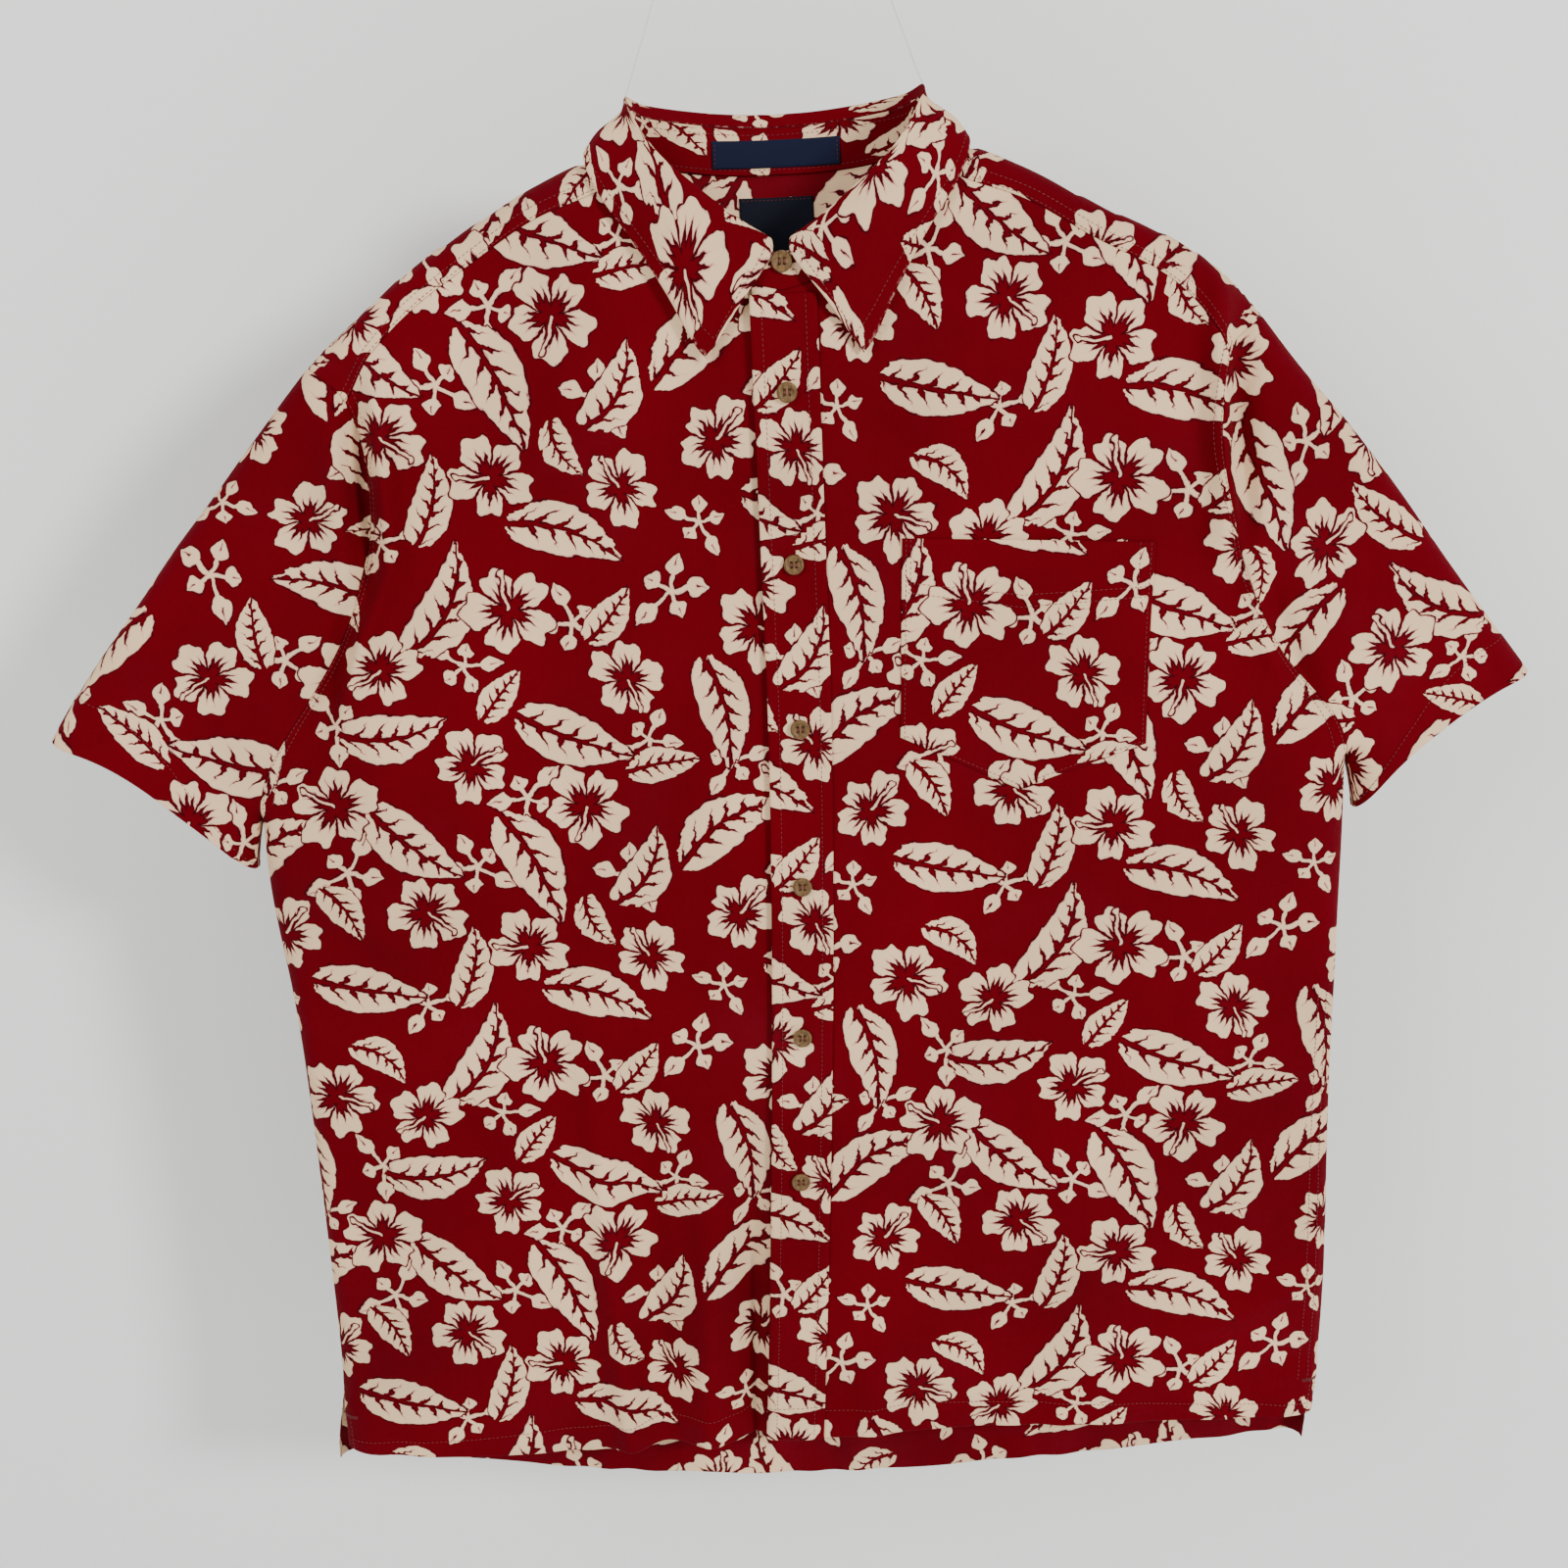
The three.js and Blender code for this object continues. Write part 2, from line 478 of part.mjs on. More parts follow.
function yoke() {
  // u runs from the armhole to the centre back, v from the front seam or the neck to the back seam.
  const top = (u) => {
    if (u <= NECK_END) {
      const t = 1 - u / NECK_END;
      const p = YOKE_SEAM_FRONT.getPoint(t);
      return mirrored({ x: p.x - SEAM * smooth((t - 0.85) * 7), y: p.y - SEAM });
    }
    if (u <= SHOULDER_END) {
      const p = NECK_BACK.getPoint((u - NECK_END) / (SHOULDER_END - NECK_END) / 5);
      return p.y > shoulderDrop(p.x) + 0.01 ? mirrored(p) : p;
    }
    const p = NECK_BACK.getPoint(0.2 + 0.8 * (u - SHOULDER_END) / (1 - SHOULDER_END));
    return { x: Math.max(p.x, 0), y: p.y + 2 * SEAM };
  };
  const bottom = (u) => {
    const k = Math.max(YOKE_SHARES.findIndex((row) => u <= row.share), 1);
    const [a, b] = [YOKE_SHARES[k - 1], YOKE_SHARES[k]];
    const x = a.seamX + (b.seamX - a.seamX) * (u - a.share) / (b.share - a.share);
    const p = onBackSeam(x);
    return { x: Math.max(p.x - SEAM * smooth((p.x - 200) / 50), 0), y: p.y - SEAM };
  };
  const armEnd = (v) => {
    const front = v < STRIP_SHARE;
    const t = front
      ? YOKE_ON_ARMHOLE_FRONT * (1 - v / STRIP_SHARE)
      : YOKE_ON_ARMHOLE_BACK * (v - STRIP_SHARE) / (1 - STRIP_SHARE);
    const p = (front ? ARMHOLE_FRONT : ARMHOLE_BACK).getPoint(t);
    const q = { x: p.x - SEAM, y: p.y };
    return front ? mirrored(q) : q;
  };
  const [neckCentre, seamCentre] = [top(1), bottom(1)];
  const centreBack = (v) => ({ x: 0, y: neckCentre.y + (seamCentre.y - neckCentre.y) * v });
  const at = patch(top, bottom, armEnd, centreBack);
  const overShoulder = ACROSS_SEAM
    .map((u) => NECK_END * (1 - (u - NECK_SHARE) / (1 - NECK_SHARE)))
    .reverse();
  const across = [...overShoulder, 0.66, SHOULDER_END, 0.75, 0.82, 0.91, 1];
  const half = across.map((u) => YOKE_DOWN.map((v) => at(u, v)));
  const rightHalf = half.map((line) => line.map((p) => folded(p, 1)));
  const leftHalf = half.slice(0, -1).map((line) => line.map((p) => folded(p, -1))).reverse();
  return wall([...rightHalf, ...leftHalf], CLOTH, new THREE.Vector3(0, 1, 0));
}

// Sleeve: a flattened tube from the armhole to the open cuff, folded along its top and its underarm seam.
function sleeve(hand) {
  const layer = (armhole, cuff) => (s, q) => {
    const a = armhole.getPoint(q);
    const c = cuff.getPoint(q);
    const top = TOP_FOLD.getPoint(TOP_FOLD_AT_ARMHOLE + (1 - TOP_FOLD_AT_ARMHOLE) * s);
    const under = UNDERARM_FOLD.getPoint(s);
    const mix = (axis) => (1 - s) * a[axis] + s * c[axis]
      + (1 - q) * (top[axis] - (1 - s) * armhole.getPoint(0)[axis] - s * cuff.getPoint(0)[axis])
      + q * (under[axis] - (1 - s) * armhole.getPoint(1)[axis] - s * cuff.getPoint(1)[axis]);
    return { x: mix('x') + SEAM * (1 - s), y: mix('y') };
  };
  const front = layer(ARMHOLE_FRONT, CUFF_FRONT);
  const back = layer(ARMHOLE_BACK, CUFF_BACK);
  const stations = [0, 0.012, 0.12, 0.26, 0.4, 0.55, 0.7, 0.85, 1];
  const grid = stations.map((s) => {
    const faceRow = ALONG_FRONT_ARMHOLE.map((q) => front(s, q)).map((p) => onLayer(hand * p.x, p.y, -1));
    const backRow = ALONG_BACK_ARMHOLE.map((q) => back(s, q)).map((p) => onLayer(hand * p.x, p.y, 1));
    return [...faceRow, ...backRow.reverse()];
  });
  return wall(grid, CLOTH, new THREE.Vector3(0, 1, 0), true);
}

// Placket: a band laid on the over-lapping front's edge.
function placket() {
  const across = part(-PLACKET_WIDTH / 2, PLACKET_WIDTH / 2, 4);
  const grid = part(PLACKET_TOP, FRONT_HEM.drop - 0.4, 26).map((drop) => across.map((dx) => (
    onRightFront(leanAt(drop) + dx, drop, CLOTH + GAP + 0.1))));
  return wall(grid, CLOTH, new THREE.Vector3(0, -1, 0));
}

// Pocket: a patch on the viewer's right front, hanging a little out of level, with a pointed lower edge.
const POCKET = {
  topLeft: [62, 301], topRight: [205, 309], lowerRight: [201, 426], point: [127, 450], lowerLeft: [58, 416],
};
const POCKET_POINT_SHARE = 0.48;

function pocket() {
  const line = (a, b) => (t) => ({ x: a[0] + (b[0] - a[0]) * t, y: a[1] + (b[1] - a[1]) * t });
  const toPoint = line(POCKET.lowerLeft, POCKET.point);
  const fromPoint = line(POCKET.point, POCKET.lowerRight);
  const bottom = (u) => (u < POCKET_POINT_SHARE
    ? toPoint(u / POCKET_POINT_SHARE)
    : fromPoint((u - POCKET_POINT_SHARE) / (1 - POCKET_POINT_SHARE)));
  const at = patch(
    line(POCKET.topLeft, POCKET.topRight), bottom,
    line(POCKET.topLeft, POCKET.lowerLeft), line(POCKET.topRight, POCKET.lowerRight),
  );
  const across = [...part(0, POCKET_POINT_SHARE, 4), ...part(POCKET_POINT_SHARE, 1, 4).slice(1)];
  const grid = part(0, 1, 6).map((v) => across.map((u) => {
    const p = at(u, v);
    return onRightFront(p.x, p.y, CLOTH + GAP + 0.3);
  }));
  return wall(grid, CLOTH, new THREE.Vector3(0, -1, 0));
}

// Straight out from the neck at a point of the ring.
const outFrom = (p) => (
  new THREE.Vector3(p.x / RING_HALVES.width ** 2, p.y / RING_HALVES.depth ** 2, 0).normalize());
const sideOf = (station) => (station < SHOULDER_STATION ? -1 : 1);

// The over-lapping end of the stand lies in front of the other one.
const STAND_LIFT = 2.2;
const STAND_REACH = 0.72;
const STAND_END_FALL = 6;
const standLift = (station, hand) => (hand > 0 ? STAND_LIFT * smooth(1.25 - station) : 0);

function neckPoint(station, hand) {
  const p = ringPoint(NECK_RING, station);
  const q = onLayer(p.x, p.y, sideOf(station));
  return new THREE.Vector3(hand * q.x, q.y - standLift(station, hand), q.z + GAP);
}

function foldPoint(station, hand) {
  const p = ringPoint(FOLD_RING, station);
  return new THREE.Vector3(hand * p.x, p.y - standLift(station, hand), p.z);
}

const COLLAR_STATIONS = [0, 0.5, 1, 1.5, 2, 2.5, 3, 3.5, 4, 4.35, 4.7, 5, 5.3, 5.65, 6, 6.5, 7, 7.6, 8.3, 9];

function collarStand() {
  const column = (station, hand) => {
    const foot = neckPoint(station, hand);
    const top = foldPoint(station, hand);
    const ends = smooth((station + STAND_REACH) / STAND_REACH);
    top.z = foldPoint(Math.max(station, 0), hand).z - ROLL_RISE - GAP - STAND_END_FALL * (1 - ends);
    return part(0, 1, 4).map((v) => foot.clone().lerp(top, v));
  };
  const stations = [-STAND_REACH, -STAND_REACH / 2, ...COLLAR_STATIONS];
  const right = stations.map((station) => column(station, 1));
  const left = stations.slice(0, -1).map((station) => column(station, -1)).reverse();
  return wall([...right, ...left], DOUBLE_CLOTH, new THREE.Vector3(0, 1, 0));
}

// Fall: up from the stand inside, over the roll and down outside to the free edge of the leaf.
function collarFall() {
  const column = (station, hand) => {
    const fold = foldPoint(station, hand);
    const out = outFrom(new THREE.Vector3(fold.x, ringPoint(FOLD_RING, station).y, 0));
    const edge = ringPoint(LEAF_EDGE, station);
    const end = clearOf(edge.x, edge.y, sideOf(station), LEAF_CLEARANCE);
    end.x *= hand;
    const inside = fold.clone();
    inside.z -= ROLL_RISE;
    const top = fold.clone().addScaledVector(out, ROLL_RADIUS);
    const outside = fold.clone().addScaledVector(out, 2 * ROLL_RADIUS + 0.4);
    outside.z -= ROLL_RISE;
    const half = outside.clone().lerp(end, 0.5).addScaledVector(out, LEAF_BELLY);
    const path = throughStations([inside, top, outside, half, end]);
    return [0, 0.12, 0.22, 0.3, 0.4, 0.5, 0.62, 0.8, 1].map((v) => path.getPoint(v));
  };
  const right = COLLAR_STATIONS.map((station) => column(station, 1));
  const left = COLLAR_STATIONS.slice(0, -1).map((station) => column(station, -1)).reverse();
  return wall([...right, ...left], DOUBLE_CLOTH, new THREE.Vector3(0, 1, 0));
}

// Button: a turned disc with a raised rim and four holes, its back to the cloth.
const HOLE_RADIUS = 0.9;
const HOLE_OFFSET = 1.35;
const DISH_THICKNESS = 1.9;

function toManifold(geometry) {
  const bare = geometry.clone();
  ['normal', 'uv'].forEach((name) => bare.deleteAttribute(name));
  const merged = mergeVertices(bare, 1e-4);
  return new wasm.Manifold(new wasm.Mesh({
    numProp: 3,
    vertProperties: new Float32Array(merged.getAttribute('position').array),
    triVerts: new Uint32Array(merged.getIndex().array),
  }));
}

function fromManifold(solid) {
  const mesh = solid.getMesh();
  const geometry = new THREE.BufferGeometry();
  geometry.setAttribute('position', new THREE.BufferAttribute(mesh.vertProperties.slice(), 3));
  geometry.setIndex(new THREE.BufferAttribute(mesh.triVerts.slice(), 1));
  geometry.computeVertexNormals();
  return geometry;
}

function buttonGeometry() {
  const radius = BUTTON_DIAMETER / 2;
  const profile = [
    [0, 0], [radius - 0.4, 0], [radius, 1.2],
    [radius - 0.7, BUTTON_THICKNESS], [radius - 1.6, DISH_THICKNESS], [0, DISH_THICKNESS],
  ].map(([r, height]) => new THREE.Vector2(r, height));
  let solid = toManifold(new THREE.LatheGeometry(profile, 16));
  for (const x of [-HOLE_OFFSET, HOLE_OFFSET]) {
    for (const z of [-HOLE_OFFSET, HOLE_OFFSET]) {
      const hole = new THREE.CylinderGeometry(HOLE_RADIUS, HOLE_RADIUS, 3 * BUTTON_THICKNESS, 6);
      solid = solid.subtract(toManifold(hole.translate(x, 0, z)));
    }
  }
  return fromManifold(solid).rotateX(Math.PI);
}

// Neck labels, blank: thin tabs on the inside of the stand and of the yoke.
const LABELS = [
  { name: 'label_stand', left: -36, right: 36, top: 78, bottom: 93 },
  { name: 'label_yoke', left: -22, right: 20, top: 109, bottom: 141 },
];

function label({ left, right, top, bottom }, depthInside) {
  const grid = part(top, bottom, 3).map((drop) => part(left, right, 6).map((x) => (
    new THREE.Vector3(x, depthInside(x, drop), -drop))));
  return wall(grid, 1, new THREE.Vector3(0, 1, 0));
}

// The stand's inner face behind the neck, by halving the stations between the shoulder and the centre back.
function standInside(x, drop) {
  let [near, far] = [SHOULDER_STATION, LAST_STATION];
  for (let i = 0; i < 24; i += 1) {
    const middle = (near + far) / 2;
    [near, far] = ringPoint(FOLD_RING, middle).x > Math.abs(x) ? [middle, far] : [near, middle];
  }
  const foot = neckPoint(near, 1);
  const top = foldPoint(near, 1);
  const t = (-drop - foot.z) / (top.z - foot.z);
  return foot.y + (top.y - foot.y) * t - DOUBLE_CLOTH - GAP - 0.5;
}

// Hanging lines: from each peak of the collar up to a small loop, leaning together.
function hangingLine(hand) {
  const peak = new THREE.Vector3(hand * PEAK.x, 0, -PEAK.drop);
  const loop = new THREE.Vector3(hand * LOOP_X, 0, -(LOOP_RADIUS + LINE_DIAMETER / 2 + GAP));
  const radius = LINE_DIAMETER / 2;
  const section = new THREE.Shape(part(0, 2 * Math.PI, 8).slice(0, -1)
    .map((angle) => new THREE.Vector2(radius * Math.cos(angle), radius * Math.sin(angle))));
  const path = new THREE.LineCurve3(peak, loop);
  return new THREE.ExtrudeGeometry(section, { steps: 12, extrudePath: path, bevelEnabled: false });
}

add('front_left', frontPanel(-1), PRINTED);
add('front_right', frontPanel(1), PRINTED);
add('back', backPanel(), PRINTED);
add('yoke', yoke(), PRINTED);
add('sleeve_left', sleeve(-1), PRINTED);
add('sleeve_right', sleeve(1), PRINTED);
add('placket', placket(), PRINTED);
add('pocket', pocket(), PRINTED);
add('collar_stand', collarStand(), PRINTED);
add('collar_fall', collarFall(), PRINTED);

for (let i = 0; i < BUTTON_COUNT; i += 1) {
  const button = add(`button_${i + 1}`, buttonGeometry(), WOOD);
  const drop = FIRST_BUTTON + BUTTON_PITCH * i;
  const x = leanAt(drop);
  const above = onRightFront(x, drop - BUTTON_DIAMETER / 2);
  const below = onRightFront(x, drop + BUTTON_DIAMETER / 2);
  button.position.copy(onRightFront(x, drop, CLOTH + 2 * GAP + 0.2));
  button.rotation.x = Math.atan2(below.y - above.y, BUTTON_DIAMETER);
}
const collarButton = add('button_collar', buttonGeometry(), WOOD);
const [standFoot, standTop] = [neckPoint(0, 1), foldPoint(0, 1)];
const upStand = (-COLLAR_BUTTON - standFoot.z) / (standTop.z - standFoot.z);
const onStand = standFoot.clone().lerp(standTop, upStand);
collarButton.position.set(0, onStand.y - 4 * GAP, -COLLAR_BUTTON);
collarButton.rotation.x = Math.atan2(standFoot.y - standTop.y, standTop.z - standFoot.z);

add(LABELS[0].name, label(LABELS[0], standInside), NAVY);
add(LABELS[1].name, label(LABELS[1], (x, drop) => onLayer(x, drop, 1, -CLOTH - GAP - 1).y), NAVY);

for (const [side, hand] of [['left', -1], ['right', 1]]) {
  add(`line_${side}`, hangingLine(hand), CLEAR);
  const loop = add(`loop_${side}`, new THREE.TorusGeometry(LOOP_RADIUS, LINE_DIAMETER / 2, 6, 14), CLEAR);
  loop.rotation.x = Math.PI / 2;
  loop.position.set(hand * LOOP_X, 0, 0);
}

export default shirt;
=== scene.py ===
import math

import bmesh
import bpy
import numpy as np
from mathutils import Matrix, Vector


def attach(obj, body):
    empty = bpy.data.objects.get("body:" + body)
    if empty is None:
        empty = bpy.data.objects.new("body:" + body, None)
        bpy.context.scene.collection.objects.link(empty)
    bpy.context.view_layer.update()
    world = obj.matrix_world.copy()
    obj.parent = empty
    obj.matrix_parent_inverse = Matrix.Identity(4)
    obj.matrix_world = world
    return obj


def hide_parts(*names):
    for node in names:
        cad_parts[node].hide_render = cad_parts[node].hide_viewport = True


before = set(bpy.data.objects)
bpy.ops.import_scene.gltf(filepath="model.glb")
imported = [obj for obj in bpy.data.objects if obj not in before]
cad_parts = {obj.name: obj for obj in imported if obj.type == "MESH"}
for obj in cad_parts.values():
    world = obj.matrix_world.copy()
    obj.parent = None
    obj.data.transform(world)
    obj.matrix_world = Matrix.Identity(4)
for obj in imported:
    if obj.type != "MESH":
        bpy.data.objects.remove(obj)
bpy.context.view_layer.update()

# ---------------------------------------------------------------- Camera
camera_data = bpy.data.cameras.new("camera")
camera_data.sensor_width = 36
camera_data.lens = 36
camera_data.clip_start = 0.01
camera = bpy.data.objects.new("camera", camera_data)
bpy.context.scene.collection.objects.link(camera)
camera.matrix_world = (
    Matrix.Translation((-0.011, -0.9115, -0.240))
    @ Matrix.Rotation(math.radians(90 - 12.6), 4, "X")
    @ Matrix.Rotation(math.radians(-2.5), 4, "Z")
)
bpy.context.scene.camera = camera


# ---------------------------------------------------------------- Hanging lines
# Two clear nylon lines, 0.7 mm thick, tied to the peaks of the collar. They run up, leaning together, to a small
# tied loop each, which goes over the hook that carries the shirt.
def finish(name):
    material = bpy.data.materials.new(name)
    material.use_nodes = True
    return material, material.node_tree, material.node_tree.nodes["Principled BSDF"]


nylon, _, nylon_shader = finish("clear nylon")
nylon_shader.inputs["Base Color"].default_value = (0.82, 0.85, 0.87, 1)
nylon_shader.inputs["Roughness"].default_value = 0.18
nylon_shader.inputs["IOR"].default_value = 1.53
nylon_shader.inputs["Transmission Weight"].default_value = 0.75

for side, hand in (("left", -1), ("right", 1)):
    line_data = bpy.data.curves.new(f"hanging_line_{side}", "CURVE")
    line_data.dimensions = "3D"
    line_data.bevel_depth = 0.00035
    line_data.bevel_resolution = 4
    run = line_data.splines.new("POLY")
    run.points.add(19)
    foot, head = Vector((hand * 0.0806, 0, -0.0588)), Vector((hand * 0.060, 0, -0.0037))
    for i, point in enumerate(run.points):
        point.co = (*foot.lerp(head, i / 19), 1)
    line = bpy.data.objects.new(f"hanging_line_{side}", line_data)
    bpy.context.scene.collection.objects.link(line)
    line_data.materials.append(nylon)
    loop_mesh = bmesh.new()
    bmesh.ops.create_circle(
        loop_mesh, segments=10, radius=0.00035, matrix=Matrix.Translation((0.003, 0, 0)) @ Matrix.Rotation(math.pi / 2, 4, "X"))
    bmesh.ops.spin(
        loop_mesh, geom=loop_mesh.verts[:] + loop_mesh.edges[:], cent=(0, 0, 0), axis=(0, 0, 1),
        angle=2 * math.pi, steps=40, use_merge=True)
    bmesh.ops.recalc_face_normals(loop_mesh, faces=loop_mesh.faces)
    bmesh.ops.rotate(loop_mesh, verts=loop_mesh.verts, cent=(0, 0, 0), matrix=Matrix.Rotation(math.pi / 2, 3, "X"))
    bmesh.ops.translate(loop_mesh, verts=loop_mesh.verts, vec=(hand * 0.060, 0, 0))
    loop_data = bpy.data.meshes.new(f"hanging_loop_{side}")
    loop_mesh.to_mesh(loop_data)
    loop_mesh.free()
    loop_data.materials.append(nylon)
    loop_data.shade_smooth()
    loop = bpy.data.objects.new(f"hanging_loop_{side}", loop_data)
    bpy.context.scene.collection.objects.link(loop)
    for piece, node in ((line, f"line_{side}"), (loop, f"loop_{side}")):
        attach(piece, "root")
        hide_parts(node)


# ---------------------------------------------------------------- Fronts
# Two fronts of printed cotton, cut to the yoke, the armholes and the straight side vents, with a hem turned up
# twice. The tables are the tailor's measures in millimetres, as [x from the centre, drop from the hanging point].
MM = 0.001


def points_along(rows, t):
    """Points at the shares t along an even curve through the rows."""
    rows = np.asarray(rows, float)
    p = np.clip(np.asarray(t, float), 0, 1) * (len(rows) - 1)
    i = np.minimum(p.astype(int), len(rows) - 2)
    w = (p - i)[..., None]
    a, b, c, d = (rows[np.clip(i + k, 0, len(rows) - 1)] for k in (-1, 0, 1, 2))
    v, z = (c - a) / 2, (d - b) / 2
    return (2 * b - 2 * c + v + z) * w ** 3 + (3 * c - 3 * b - 2 * v - z) * w ** 2 + v * w + b


def smooth(value):
    value = np.clip(value, 0, 1)
    return value * value * (3 - 2 * value)


UNDERARM = [320, 445]
TOP_FOLD = [
    [84, 89], [110, 95], [136, 106], [173, 125], [205, 143], [235, 166], [267, 193],
    [303, 234], [330, 268], [355, 298], [380, 331], [404, 363], [428, 395],
]
SIDE = [UNDERARM, [318, 490], [315, 550], [313, 640], [312, 750], [311, 830]]
FRONT_SIDE = SIDE + [[309, 870]]
BACK_SIDE = SIDE + [[308, 900]]
UNDERARM_FOLD = [UNDERARM, [323, 460], [325, 477]]
ARMHOLE_FRONT = [
    [267, 193], [255, 202], [246, 213], [241, 235], [239, 262], [242, 292],
    [252, 325], [266, 353], [283, 379], [300, 401], [313, 421], UNDERARM,
]
ARMHOLE_BACK = [
    [267, 193], [258, 203], [252, 215], [247, 245], [247, 285],
    [255, 325], [269, 359], [287, 388], [304, 411], UNDERARM,
]
YOKE_FRONT = 2 / 11
YOKE_BACK = 2 / 9
YOKE_SEAM_FRONT = [[78, 102], [105, 113], [135, 124], [167, 142], [202, 164], [229, 188], [246, 213]]
YOKE_SEAM_BACK = [[252, 215], [190, 206], [120, 200], [60, 197], [0, 196]]
NECK = [[0, 165], [24, 158], [48, 143], [65, 124], [78, 102], [84, 89], [74, 92], [50, 95.5], [24, 97], [0, 97]]
HEM = 873
HEM_BACK = [[308, 900], [240, 906], [150, 911], [70, 915], [0, 916]]
HALF_DEPTH = 12.5
FOLD_RADIUS = 14
SHARES = np.linspace(0, 1, 73)
FRONT_EDGES = [points_along(rows, SHARES[::step]) for rows, step in ((TOP_FOLD, 1), (FRONT_SIDE, 3), (UNDERARM_FOLD, 12))]
BACK_EDGES = [FRONT_EDGES[0], points_along(BACK_SIDE, SHARES[::3]), FRONT_EDGES[2]]

# Folds, each from top to bottom, with its width and how far it stands out (or in).
FOLDS = [
    (-1, (-226, 180), (-226, 335), 8, 12), (-1, (-241, 190), (-243, 345), 6.5, -10),
    (-1, (-256, 205), (-254, 330), 9, 6), (-1, (-226, 290), (-270, 405), 8, 9),
    (-1, (-242, 300), (-286, 415), 8, -8), (-1, (241, 165), (238, 330), 8, 11.5),
    (-1, (255, 180), (250, 345), 6.5, -9.5), (-1, (244, 290), (284, 405), 9, 6),
    (-1, (262, 325), (306, 425), 9, -6), (-1, (-138, 560), (-124, 980), 11, 10),
    (-1, (-112, 600), (-102, 980), 12, -6), (-1, (-42, 620), (-50, 990), 7, -10.5),
    (-1, (-68, 640), (-80, 990), 11, 9), (-1, (24, 740), (30, 960), 12, 6),
    (-1, (150, 640), (170, 930), 26, 4), (-1, (306, 765), (225, 818), 22, 3.5),
    (-1, (-300, 470), (-215, 560), 20, 3), (-1, (300, 460), (225, 560), 20, 3),
    (1, (-236, 200), (-226, 380), 14, 6), (1, (240, 200), (232, 360), 12, 6),
    (1, (-110, 300), (-130, 900), 24, 5), (1, (90, 260), (120, 930), 28, 5.5),
    (1, (10, 520), (-10, 960), 20, 4),
]


# Where the shirt hangs out of true: x, drop and width of each place, and how far it is drawn out and down.
DRAWN = [
    (-130, 100, 60, 0, -2.5), (130, 100, 60, 0, -2.5), (-345, 290, 60, 2, -3), (-410, 365, 60, 7, -4),
    (-435, 400, 35, 7, 5), (-360, 450, 60, 0, 7), (-325, 500, 60, 4, 0), (242, 165, 48, 0, -11),
    (258, 300, 40, 8, 0), (330, 262, 50, 0, -5), (360, 450, 60, 0, -7), (320, 560, 120, 6, 0),
    (318, 780, 140, 9, 0),
]


def nearest(line, x, drop):
    """Distance to a line of points, its foot and the way up from it."""
    best = np.full(x.shape, np.inf)
    foot, up = np.zeros(x.shape + (2,)), np.zeros(x.shape + (2,))
    for a, b in zip(line[:-1], line[1:]):
        way = b - a
        t = np.clip(((x - a[0]) * way[0] + (drop - a[1]) * way[1]) / (way @ way), 0, 1)
        at = a + t[..., None] * way
        d = np.hypot(x - at[..., 0], drop - at[..., 1])
        near = d < best
        best = np.where(near, d, best)
        foot[near] = at[near]
        up[near] = np.array([way[1], -way[0]]) / math.sqrt(way @ way)
    return best, foot, up


def fold_height(x, drop, side):
    height = np.zeros(x.shape)
    for fold_side, top, bottom, width, rise in FOLDS:
        if fold_side == side:
            t = (drop - top[1]) / (bottom[1] - top[1])
            centre = top[0] + (bottom[0] - top[0]) * t
            height += rise * np.sin(math.pi * np.clip(t, 0, 1)) * np.exp(-(((x - centre) / width) ** 2))
    return height


def soft_waves(x, drop, side):
    """The slack of thin cotton: long low waves and a few shallow dents."""
    slow = np.sin(x / 31 + 1.9 * np.sin(drop / 67 + side) + 0.8 * side) * np.sin(drop / 88 + x / 140)
    quick = np.sin(x / 13 + 1.3 * np.sin(drop / 29) + 2 * side) * np.sin(drop / 24 + x / 41 + side)
    foot = np.sin(x / 7 + 2 * np.sin(x / 23) + side) * smooth((drop - 838) / 32)
    return 0.9 * slow + 0.3 * quick + 0.8 * foot


def depth(x, drop, side):
    """How far the cloth stands from the middle plane."""
    lines = FRONT_EDGES if side < 0 else BACK_EDGES
    edge = np.min([nearest(line, np.abs(x), drop)[0] for line in lines], axis=0)
    turn = np.sqrt(1 - (1 - np.clip(edge / FOLD_RADIUS, 0, 1)) ** 2)
    if side < 0:
        neck = 13 * np.exp(-((x / 70) ** 2) - ((drop - 150) / 75) ** 2)
    else:
        neck = 22 * np.exp(-((x / 82) ** 2) - ((drop - 92) / 60) ** 2)
    apart = 2.4 * smooth((drop - 829) / 12) * smooth((np.abs(x) - 250) / 50)
    return apart + (HALF_DEPTH + neck + fold_height(x, drop, side) + soft_waves(x, drop, side)) * turn


FOOT_DRAWN = {
    -1: [(-318, 880, 60, 4, -3), (-240, 880, 70, 0, 5), (-150, 880, 110, 0, 3), (318, 880, 90, 0, 4)],
    1: [(-318, 905, 60, 15, -12), (-235, 908, 80, 0, -7), (60, 915, 130, 0, 3), (318, 905, 90, 0, 1)],
}


def on_layer(x, drop, side, out=0.0):
    place_x, place_drop = x + 0.0, drop + 0.0
    for centre, level, width, away, down in DRAWN + FOOT_DRAWN[side]:
        share = np.exp(-((x - centre) ** 2 + (drop - level) ** 2) / width ** 2)
        place_x = place_x + share * away * np.sign(centre)
        place_drop = place_drop + share * down
    return np.stack([place_x, side * (depth(x, drop, side) + out), -place_drop], axis=-1)


def lean(drop):
    return -22 * np.clip((drop - 380) / 490, 0, 1) ** 1.5


def on_right_front(x, drop, out=0.0):
    over = 2.2 + 1.4 * smooth((drop - 600) / 220)
    return on_layer(x, drop, -1, over * smooth((44 - (x - lean(drop))) / 22) + out)


